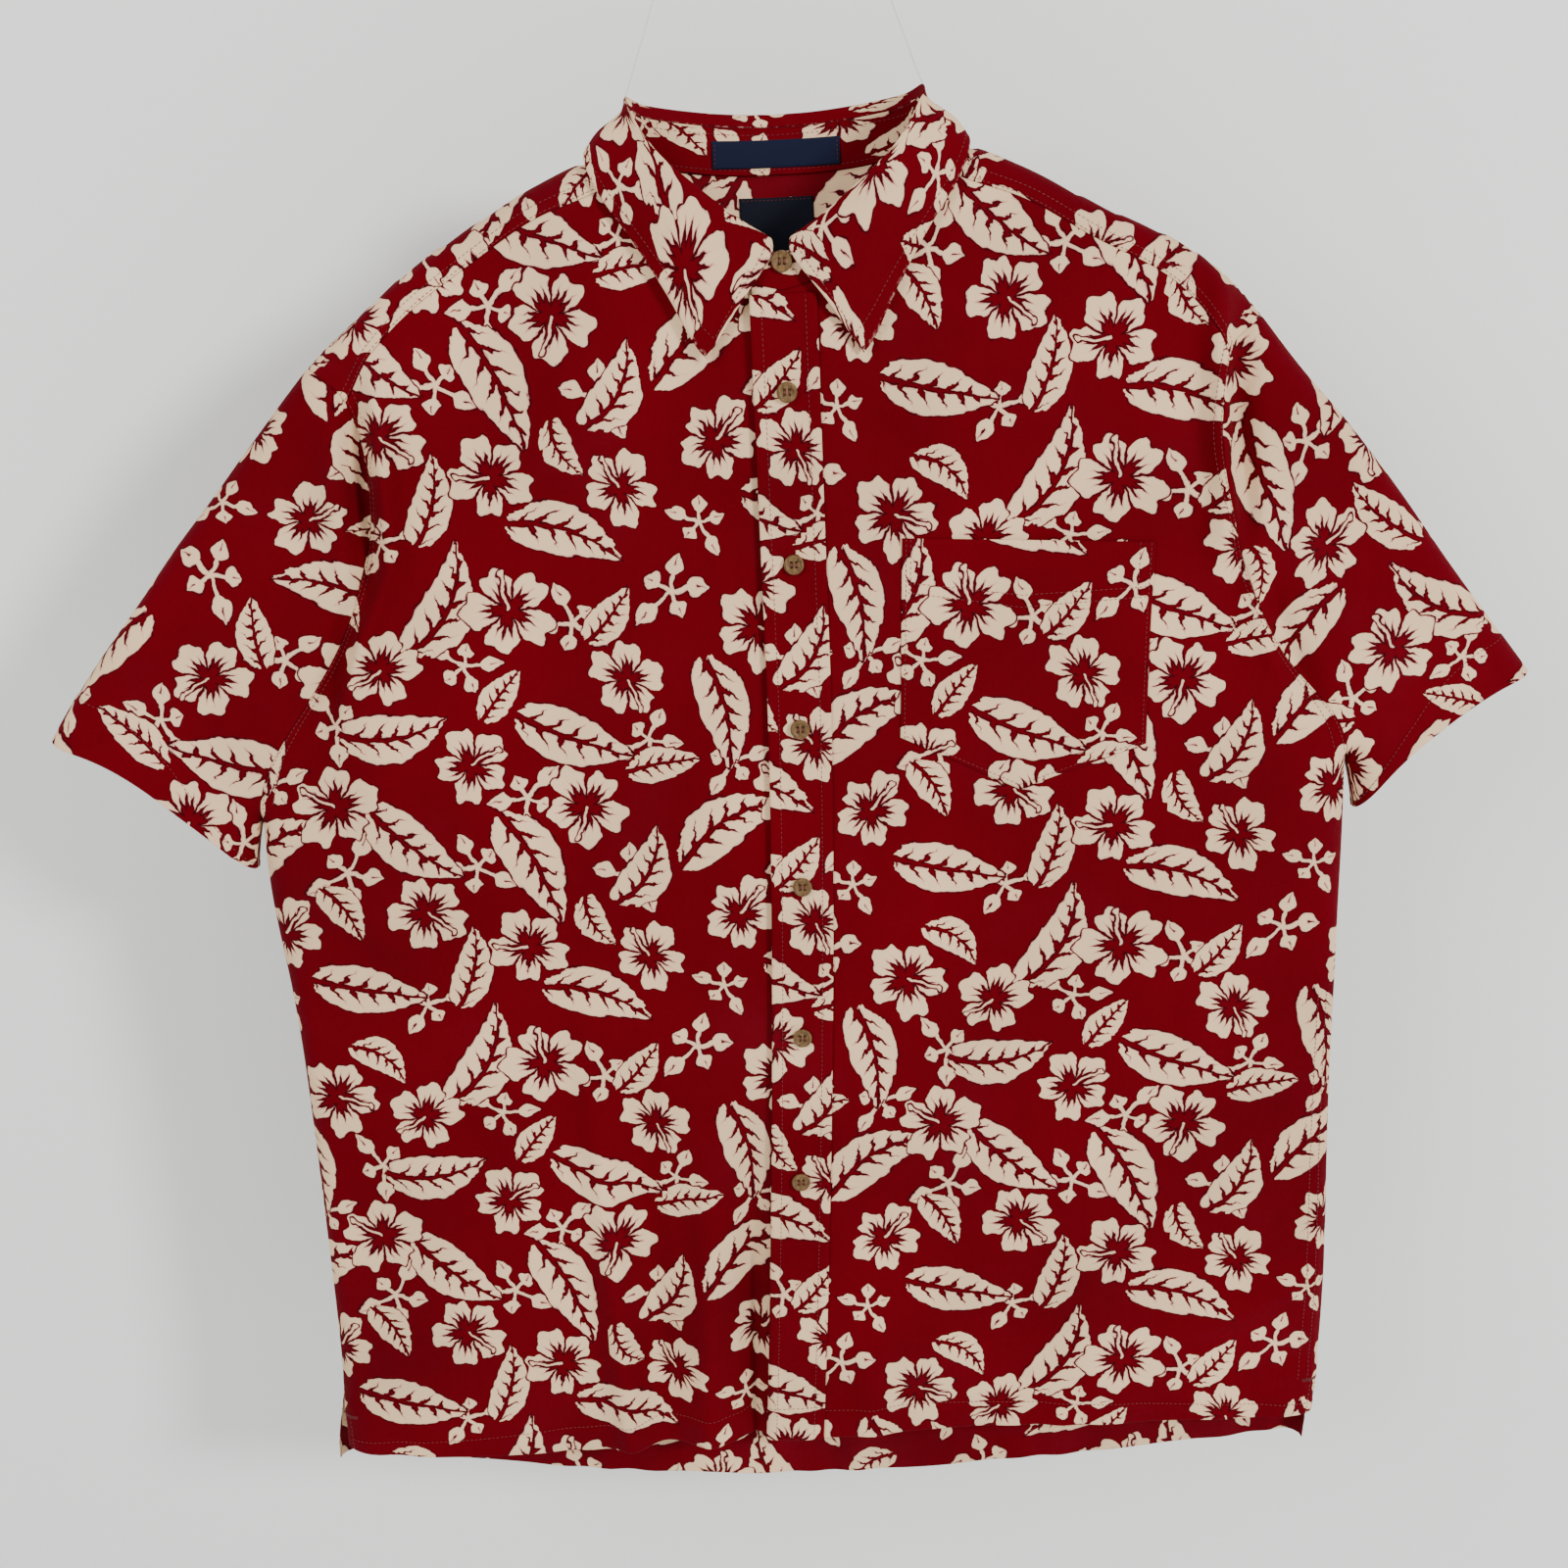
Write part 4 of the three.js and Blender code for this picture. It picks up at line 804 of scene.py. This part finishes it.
def place_yoke(u, v):
    t = 2 * u - 1
    hand = np.where(t < 0, -1, 1)
    p = yoke_patch(1 - np.abs(t), v)
    ahead = p[..., 1] < shoulder_drop(p[..., 0])
    q = mirrored(p)
    on_front = on_layer(hand * q[..., 0], q[..., 1], -1)
    behind = on_layer(hand * p[..., 0], p[..., 1], 1)
    edge, _, up = nearest(SHOULDER, p[..., 0], p[..., 1])
    more = np.where(ahead, 1, -1) * (SPARE[0] - np.interp(edge, FROM_EDGE, SPARE))
    long = p + up * more[..., None]
    return np.where(ahead[..., None], on_front, behind), np.stack([130 - hand * long[..., 0], long[..., 1] + 40], axis=-1)


yoke, on_yoke = panel(
    "yoke_cloth", (540, 120), (0, 0, 7, 7), place_yoke, (0.5, 0.8, (0, 1, 0)), step=2.6)
front_row = NECK_END / 2 * ROW
yoke_stitching = sew("yoke_stitching", on_yoke, [
    (0.01 + 0.98 * ROW, 1 - 1.6 / 120), (0.01 + 0.98 * ROW, 1 - 7 / 120),
    (front_row, 1.6 / 120), (front_row, 7 / 120), (1 - front_row, 1.6 / 120), (1 - front_row, 7 / 120)])
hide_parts("yoke")

# The lower label is a short plain tab of woven ribbon below the stand, blank like the upper one.


def woven(name, ground):
    """Close-woven label ribbon, with fine ribs."""
    material, tree, shader = finish(name)
    cloth = tree.nodes.new("ShaderNodeUVMap")
    cloth.uv_map = "cut"
    split = tree.nodes.new("ShaderNodeSeparateXYZ")
    tree.links.new(cloth.outputs[0], split.inputs[0])
    x, y = (Dye(tree, split.outputs[k]) for k in (0, 1))
    ribs = (y * (math.tau / 0.0006)).by("SINE") * (x * (math.tau / 0.0009)).by("SINE")
    colours = tree.nodes.new("ShaderNodeValToRGB")
    for stop, share in zip(colours.color_ramp.elements, (0.7, 1.1)):
        stop.color = (*(channel * share for channel in ground), 1)
    tree.links.new(ribs.scaled(0.5, 0.5).socket, colours.inputs["Fac"])
    tree.links.new(colours.outputs["Color"], shader.inputs["Base Color"])
    shader.inputs["Roughness"].default_value = 0.75
    shader.inputs["Specular IOR Level"].default_value = 0.15
    bump = tree.nodes.new("ShaderNodeBump")
    bump.inputs["Distance"].default_value = 0.00008
    tree.links.new(ribs.socket, bump.inputs["Height"])
    tree.links.new(bump.outputs[0], shader.inputs["Normal"])
    return material


def place_lower_label(u, v):
    x, drop = -22 + 42 * u, 109 + 32 * v
    return on_layer(x, drop, 1, -1.6), np.stack([x, 32 * v], axis=-1)


dark = woven("lower label ribbon", (0.006, 0.007, 0.016))
lower_label, on_lower_label = panel(
    "label_yoke_cloth", (42, 32), (0, 0, 0, 0), place_lower_label, (0.5, 0.5, (0, -1, 0)), step=3,
    right=dark, wrong=dark)
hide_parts("label_yoke")
label_stitching = sew("label_yoke_stitching", on_lower_label, [(0.03 + 0.94 * ROW, 0.05)], 2.2)

# ---------------------------------------------------------------- Sleeves
# Each sleeve is one piece, folded along its top and sewn under the arm, with a deep hem at the cuff.
CUFF_FRONT = [[428, 395], [407, 407], [388, 421], [371, 435], [350, 453], [325, 477]]
CUFF_BACK = [[428, 395], [409, 410], [391, 426], [373, 441], [352, 459], [325, 477]]


SLEEVE_TOP = FRONT_EDGES[0][36:]


def sleeve_layer(armhole, cuff, s, q):
    start, end = points_along(armhole, q), points_along(cuff, q)
    top = points_along(TOP_FOLD, 0.5 + 0.5 * s)
    under = points_along(UNDERARM_FOLD, s)
    s, q = s[..., None], q[..., None]
    first = (1 - s) * np.array(armhole[0]) + s * np.array(cuff[0])
    last = (1 - s) * np.array(armhole[-1]) + s * np.array(cuff[-1])
    return (1 - s) * start + s * end + (1 - q) * (top - first) + q * (under - last)


for side, hand in (("left", -1), ("right", 1)):

    def place_sleeve(u, v):
        ahead = u <= 0.5
        q = np.where(ahead, 2 * u, 2 - 2 * u)
        f = sleeve_layer(ARMHOLE_FRONT, CUFF_FRONT, v, q)
        b = sleeve_layer(ARMHOLE_BACK, CUFF_BACK, v, q)
        points = np.where(
            ahead[..., None], on_layer(hand * f[..., 0], f[..., 1], -1), on_layer(hand * b[..., 0], b[..., 1], 1))
        p = np.where(ahead[..., None], f, b)
        along = (p - np.array([267, 193])) @ np.array([0.623, 0.782])
        from_top = nearest(SLEEVE_TOP, p[..., 0], p[..., 1])[0]
        from_top = from_top + SPARE[0] - np.interp(from_top, FROM_EDGE, SPARE)
        across = np.where(ahead, 1, -1) * (from_top + spare(FRONT_EDGES[2], p[..., 0], p[..., 1]))
        return points, np.stack([hand * across + 60 + 40 * hand, along + 110 * hand], axis=-1)

    sleeve, on_sleeve = panel(
        f"sleeve_{side}_cloth", (480, 190), (None, None, 0, 23), place_sleeve, (0.25, 0.5, (0, -1, 0)), step=3.2)
    stitching = sew(f"sleeve_{side}_stitching", on_sleeve, [(ROW, 1 - 23 / 190)])
    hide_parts(f"sleeve_{side}")

# ---------------------------------------------------------------- Placket
# A band of doubled cotton down the over-lapping front, stitched along both its edges.


def place_placket(u, v):
    drop = 166.4 + (HEM - 0.4 - 166.4) * v
    x = lean(drop) + 37 * (u - 0.5)
    return on_right_front(x, drop, 1.3), np.stack([x - 45, drop + 96], axis=-1)


placket, on_placket = panel(
    "placket_cloth", (37, 706), (6.5, 6.5, 0, 23), place_placket, (0.5, 0.5, (0, -1, 0)), step=3, thickness=1.1)
placket_stitching = sew("placket_stitching", on_placket, [(6.5 / 37, ROW), (1 - 6.5 / 37, ROW), (0.03 + 0.94 * ROW, 1 - 23 / 706)])
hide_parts("placket")

# ---------------------------------------------------------------- Pocket
# A patch pocket with a pointed lower edge and a hemmed mouth, on the viewer's right.
POCKET = [(62, 301), (205, 309), (201, 426), (127, 450), (58, 416)]


def edge_line(a, b):
    a, b = np.array(a, float), np.array(b, float)
    return lambda t: a + (b - a) * t[..., None]


def pocket_foot(u):
    left = edge_line(POCKET[4], POCKET[3])(u / 0.48)
    right = edge_line(POCKET[3], POCKET[2])((u - 0.48) / 0.52)
    return np.where((u < 0.48)[..., None], left, right)


pocket_patch = patch(
    edge_line(POCKET[0], POCKET[1]), pocket_foot, edge_line(POCKET[0], POCKET[4]), edge_line(POCKET[1], POCKET[2]))


def place_pocket(u, v):
    p = pocket_patch(u, v)
    slack = 1.6 * np.sin(math.pi * u) * np.clip(1 - v / 0.35, 0, 1) ** 2
    return on_right_front(p[..., 0], p[..., 1], 1.1 + slack), p + np.array([64, -38])


pocket, on_pocket = panel(
    "pocket_cloth", (144, 125), (0, 0, 33, 0), place_pocket, (0.5, 0.5, (0, -1, 0)), step=3, thickness=0.8)
pocket_stitching = sew("pocket_stitching", on_pocket, [
    (0.02 + 0.96 * ROW, 27 / 125), (0.02 + 0.96 * ROW, 33 / 125), (2.4 / 144, ROW), (1 - 2.4 / 144, ROW),
    (0.02 + 0.96 * ROW, 1 - 2.4 / 125), (1 - 8.5 / 144, 0.26 * ROW), (5 / 144, 0.26 * ROW)])
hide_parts("pocket")

# ---------------------------------------------------------------- Collar
# A stand that stands up round the neck and a fall that rolls over it, ending in two pointed leaves. Both are
# doubled cotton with a stiffening cloth between.
FOLD_RING = [
    [4.5, -27, -138], [22, -28, -127], [44, -26, -109], [62, -21, -92], [73, -13, -75],
    [79, 0, -58.5], [71, 14, -60], [46, 28, -62], [21, 34, -63.5], [0, 35, -64],
]
LEAF_EDGE = [
    [43, 199], [50, 190], [64, 163], [80, 137], [97, 112], [104, 93.6], [88, 101], [60, 104], [28, 107], [0, 108],
]


def through(points, t):
    """A point of the curve through points, whose bends don't swing out where the points are close."""
    points = [np.asarray(p, float) for p in points]
    points = [2 * points[0] - points[1], *points, 2 * points[-1] - points[-2]]
    spans = len(points) - 3
    place = np.clip(t, 0, 1) * spans
    whole = np.minimum(place.astype(int), spans - 1)
    result = np.zeros(np.broadcast_shapes(place.shape + (3,), points[0].shape))
    for k in range(spans):
        a, b, c, d = points[k:k + 4]
        da, db, dc = (np.maximum(np.linalg.norm(q - p, axis=-1, keepdims=True), 1e-4) ** 0.5
                      for p, q in ((a, b), (b, c), (c, d)))
        m = ((b - a) / da - (c - a) / (da + db) + (c - b) / db) * db
        n = ((c - b) / db - (d - b) / (db + dc) + (d - c) / dc) * db
        w = (place - k)[..., None]
        at = b + m * w + (3 * c - 3 * b - 2 * m - n) * w ** 2 + (2 * b - 2 * c + m + n) * w ** 3
        result = np.where((whole == k)[..., None], at, result)
    return result


def stand_lift(station, hand):
    return np.where(hand > 0, 2.2 * smooth(1.25 - station), 0)


def neck_point(station, hand):
    p = ring_point(NECK, station)
    ahead = station < 5
    front, behind = on_layer(p[..., 0], p[..., 1], -1), on_layer(p[..., 0], p[..., 1], 1)
    q = np.where(ahead[..., None], front, behind)
    return np.stack([hand * q[..., 0], q[..., 1] - stand_lift(station, hand), q[..., 2]], axis=-1)


def fold_point(station, hand):
    p = through(FOLD_RING, np.abs(station) / 9)
    x = np.where(station < 0, -1, 1) * p[..., 0]
    return np.stack([hand * x, p[..., 1] - stand_lift(station, hand), p[..., 2]], axis=-1)


STAND_REACH = 0.72


def place_stand(u, v):
    t = 2 * u - 1
    hand = np.where(t < 0, -1, 1)
    station = 9 - (9 + STAND_REACH) * np.abs(t)
    foot, top = neck_point(station, hand), fold_point(station, hand)
    fall = 6 * (1 - smooth((station + STAND_REACH) / STAND_REACH))
    top[..., 2] = fold_point(np.maximum(station, 0), hand)[..., 2] - 7.3 - fall
    return foot + (top - foot) * v[..., None], np.stack([t * 215, v * 38], axis=-1)


stand, on_stand = panel(
    "collar_stand_cloth", (430, 36), (0, 0, 0, 0), place_stand, (0.5, 0.5, (0, 1, 0)), step=3, thickness=1.3, wrong=cotton)
stand_stitching = sew("collar_stand_stitching", lambda u, v, lift: on_stand(u, v, -1.3 - lift), [
    (0.01 + 0.98 * ROW, 0.12), (0.01 + 0.98 * ROW, 0.84)])
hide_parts("collar_stand")


# The upper label, a navy woven tab with plain ends, is sewn to the inside of the stand at the back of the neck.
def place_upper_label(u, v):
    x, drop = -36 + 72 * u, 78 + 15 * v
    stations = np.linspace(9, 5, 60)
    station = np.interp(np.abs(x), ring_point(FOLD_RING, stations)[:, 0], stations)
    foot, top = neck_point(station, 1), fold_point(station, 1)
    t = (-drop - foot[..., 2]) / (top[..., 2] - foot[..., 2])
    y = foot[..., 1] + (top[..., 1] - foot[..., 1]) * t - 2.0
    return np.stack([x, y, -drop], axis=-1), np.stack([x, 15 * v], axis=-1)


navy = woven("upper label ribbon", (0.006, 0.009, 0.032))
upper_label, on_upper_label = panel(
    "label_stand_cloth", (72, 15), (0, 0, 0, 0), place_upper_label, (0.5, 0.5, (0, -1, 0)), step=3,
    right=navy, wrong=navy)
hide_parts("label_stand")
upper_stitching = sew("label_stand_stitching", on_upper_label, [(0.02, 0.1 + 0.8 * ROW), (0.98, 0.1 + 0.8 * ROW)], 2.2)


def clear_of(x, drop, side, clearance):
    d, _, up = nearest(SHOULDER, x, drop)
    turn = 1 - np.clip(d / FOLD_RADIUS, 0, 1)
    out = np.stack([turn * up[..., 0], side * np.sqrt(1 - turn * turn), -turn * up[..., 1]], axis=-1)
    return on_layer(x, drop, side) + out * clearance


def place_fall(u, v):
    t = 2 * u - 1
    hand = np.where(t < 0, -1, 1)
    station = 9 - 9 * np.abs(t)
    fold = fold_point(station, hand)
    ring = through(FOLD_RING, station / 9)
    out = np.stack([fold[..., 0] / 86 ** 2, ring[..., 1] / 36 ** 2, np.zeros_like(t)], axis=-1)
    out /= np.linalg.norm(out, axis=-1, keepdims=True)
    edge = ring_point(LEAF_EDGE, station)
    ahead = station < 5
    end = np.where(
        ahead[..., None], clear_of(edge[..., 0], edge[..., 1], -1, 4.6), clear_of(edge[..., 0], edge[..., 1], 1, 4.6))
    end = end * np.stack([hand, np.ones_like(t), np.ones_like(t)], axis=-1)
    lower = np.array([0, 0, -7])
    inside, outside = fold + lower, fold + out * 4.4 + lower
    half = (outside + end) / 2 + out * 3.2
    points = through([inside, fold + out * 2, outside, half, end], v)
    return points, np.stack([t * 225, v * 70], axis=-1)


fall, on_fall = panel(
    "collar_fall_cloth", (460, 70), (0, 0, 0, 0), place_fall, (0.5, 0.8, (0, 1, 0)), step=2.4, thickness=1.3, wrong=cotton,
    worn=1.0)
fall_stitching = sew("collar_fall_stitching", on_fall, [
    (0.013 + 0.974 * ROW, 1 - 6 / 70), (0.013, 0.1 + 0.81 * ROW), (0.987, 0.1 + 0.81 * ROW)])
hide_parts("collar_fall")

# ---------------------------------------------------------------- Buttons
# Seven turned wooden buttons of 11.4 mm with a raised rim, a dish and four holes, sewn on with two bars of thread:
# six down the placket at 95 mm and one on the stand.
BUTTON_RIM = [
    (0, 0), (4.7, 0), (5.35, 0.3), (5.7, 1.1), (5.6, 1.9), (5.2, 2.4), (4.7, 2.5), (4.25, 2.3), (3.9, 1.95),
    (2.4, 1.75), (0, 1.7),
]
HOLE_OFFSET = 1.35
wood, wood_tree, wood_shader = finish("turned brown wood")
wood_place = wood_tree.nodes.new("ShaderNodeTexCoord")
wood_fit = wood_tree.nodes.new("ShaderNodeMapping")
wood_fit.inputs["Scale"].default_value = (1, 1, 0.22)
grain = wood_tree.nodes.new("ShaderNodeTexNoise")
grain.inputs["Scale"].default_value = 900
grain.inputs["Detail"].default_value = 4
grain_colours = wood_tree.nodes.new("ShaderNodeValToRGB")
for stop, position, colour in zip(
        grain_colours.color_ramp.elements, (0.3, 0.7), ((0.07, 0.034, 0.012, 1), (0.2, 0.115, 0.045, 1))):
    stop.position, stop.color = position, colour
wood_bump = wood_tree.nodes.new("ShaderNodeBump")
wood_bump.inputs["Distance"].default_value = 0.00012
wood_tree.links.new(wood_place.outputs["Object"], wood_fit.inputs["Vector"])
wood_tree.links.new(wood_fit.outputs[0], grain.inputs["Vector"])
wood_tree.links.new(grain.outputs["Fac"], grain_colours.inputs["Fac"])
wood_tree.links.new(grain_colours.outputs["Color"], wood_shader.inputs["Base Color"])
wood_tree.links.new(grain.outputs["Fac"], wood_bump.inputs["Height"])
wood_tree.links.new(wood_bump.outputs[0], wood_shader.inputs["Normal"])
wood_shader.inputs["Roughness"].default_value = 0.5
wood_shader.inputs["Specular IOR Level"].default_value = 0.2

disc = bmesh.new()
rim = [disc.verts.new((r * MM, 0, height * MM)) for r, height in BUTTON_RIM]
ring = [disc.edges.new(pair) for pair in zip(rim[:-1], rim[1:])]
bmesh.ops.spin(disc, geom=rim + ring, cent=(0, 0, 0), axis=(0, 0, 1), angle=2 * math.pi, steps=36, use_merge=True)
bmesh.ops.remove_doubles(disc, verts=disc.verts, dist=1e-6)
bmesh.ops.recalc_face_normals(disc, faces=disc.faces)
drills = bmesh.new()
for x in (-HOLE_OFFSET, HOLE_OFFSET):
    for y in (-HOLE_OFFSET, HOLE_OFFSET):
        bmesh.ops.create_cone(
            drills, segments=14, radius1=0.75 * MM, radius2=0.75 * MM, depth=9 * MM, cap_ends=True,
            matrix=Matrix.Translation((x * MM, y * MM, 0)))
bored = []
for name, shape in (("button_disc", disc), ("button_drills", drills)):
    mesh = bpy.data.meshes.new(name)
    shape.to_mesh(mesh)
    shape.free()
    bored.append(bpy.data.objects.new(name, mesh))
    bpy.context.scene.collection.objects.link(bored[-1])
boring = bored[0].modifiers.new("holes", "BOOLEAN")
boring.operation, boring.object, boring.solver = "DIFFERENCE", bored[1], "EXACT"
button_mesh = bpy.data.meshes.new_from_object(bored[0].evaluated_get(bpy.context.evaluated_depsgraph_get()))
for spare_piece in bored:
    bpy.data.objects.remove(spare_piece)
bars = bmesh.new()
for x in (-HOLE_OFFSET, HOLE_OFFSET):
    for lift in (0, 0.3):
        bmesh.ops.create_icosphere(bars, subdivisions=2, radius=1, matrix=Matrix.Translation(
            ((x + 0.2 * lift) * MM, 0, (1.75 + lift) * MM)) @ Matrix.Diagonal((0.32 * MM, 1.75 * MM, 0.3 * MM, 1)))
bar_mesh = bpy.data.meshes.new("button_thread")
bars.to_mesh(bar_mesh)
bars.free()

places = []
for k in range(6):
    drop = 218 + 95 * k
    spot, above, below = (on_right_front(np.array([lean(drop)]), np.array([drop + d]), 1.45)[0] for d in (0, -5.7, 5.7))
    places.append((f"button_{k + 1}", spot, math.atan2(below[1] - above[1], 11.4)))
foot, top = neck_point(np.zeros(1), 1)[0], fold_point(np.zeros(1), 1)[0]
share = (-150 - foot[2]) / (top[2] - foot[2])
places.append(("button_collar", np.array([0, foot[1] + (top[1] - foot[1]) * share - 0.5, -150]),
               math.atan2(foot[1] - top[1], top[2] - foot[2])))
for name, spot, tilt in places:
    lay = Matrix.Translation(Vector(spot) * MM) @ Matrix.Rotation(tilt, 4, "X") @ Matrix.Rotation(math.pi / 2, 4, "X")
    for shape, material, label in ((button_mesh, wood, "turned"), (bar_mesh, thread, "thread")):
        mesh = shape.copy()
        mesh.transform(lay)
        mesh.materials.clear()
        mesh.materials.append(material)
        mesh.shade_smooth()
        piece = bpy.data.objects.new(f"{name}_{label}", mesh)
        bpy.context.scene.collection.objects.link(piece)
        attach(piece, "root")
    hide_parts(name)

# ---------------------------------------------------------------- Wall, floor and light
stage_material, _, stage_shader = finish("pale wall")
stage_shader.inputs["Base Color"].default_value = (0.89, 0.905, 0.885, 1)
stage_shader.inputs["Roughness"].default_value = 0.9
# The wall has one side only, so that the back of the shirt can be looked at from behind it.
seen_from_behind = stage_material.node_tree.nodes.new("ShaderNodeNewGeometry")
clear = stage_material.node_tree.nodes.new("ShaderNodeBsdfTransparent")
one_sided = stage_material.node_tree.nodes.new("ShaderNodeMixShader")
for source, slot in (
    (seen_from_behind.outputs["Backfacing"], one_sided.inputs[0]), (stage_shader.outputs[0], one_sided.inputs[1]),
    (clear.outputs[0], one_sided.inputs[2]),
    (one_sided.outputs[0], stage_material.node_tree.nodes["Material Output"].inputs["Surface"]),
):
    stage_material.node_tree.links.new(source, slot)
for name, corners in (
    ("wall", [(-3, 0.15, -1.3), (3, 0.15, -1.3), (3, 0.15, 1.6), (-3, 0.15, 1.6)]),
    ("floor", [(-3, -3.0, -1.3), (3, -3.0, -1.3), (3, 0.15, -1.3), (-3, 0.15, -1.3)]),
):
    slab = bmesh.new()
    slab.faces.new([slab.verts.new(c) for c in corners])
    slab_data = bpy.data.meshes.new(name)
    slab.to_mesh(slab_data)
    slab.free()
    slab_data.materials.append(stage_material)
    slab_piece = bpy.data.objects.new(name, slab_data)
    bpy.context.scene.collection.objects.link(slab_piece)

for name, at, size, power in (("key", (2.1, -2.1, 0.5), 0.6, 88), ("fill", (-1.4, -1.5, 0.5), 1.4, 34)):
    light_data = bpy.data.lights.new(name, "AREA")
    light_data.shape = "DISK"
    light_data.size = size
    light_data.energy = power
    light = bpy.data.objects.new(name, light_data)
    bpy.context.scene.collection.objects.link(light)
    light.location = at
    light.rotation_euler = (Vector((0, 0, -0.45)) - Vector(at)).to_track_quat("-Z", "Y").to_euler()
world = bpy.data.worlds.new("room")
world.use_nodes = True
world.node_tree.nodes["Background"].inputs["Color"].default_value = (0.97, 0.98, 1, 1)
world.node_tree.nodes["Background"].inputs["Strength"].default_value = 0.34
bpy.context.scene.world = world
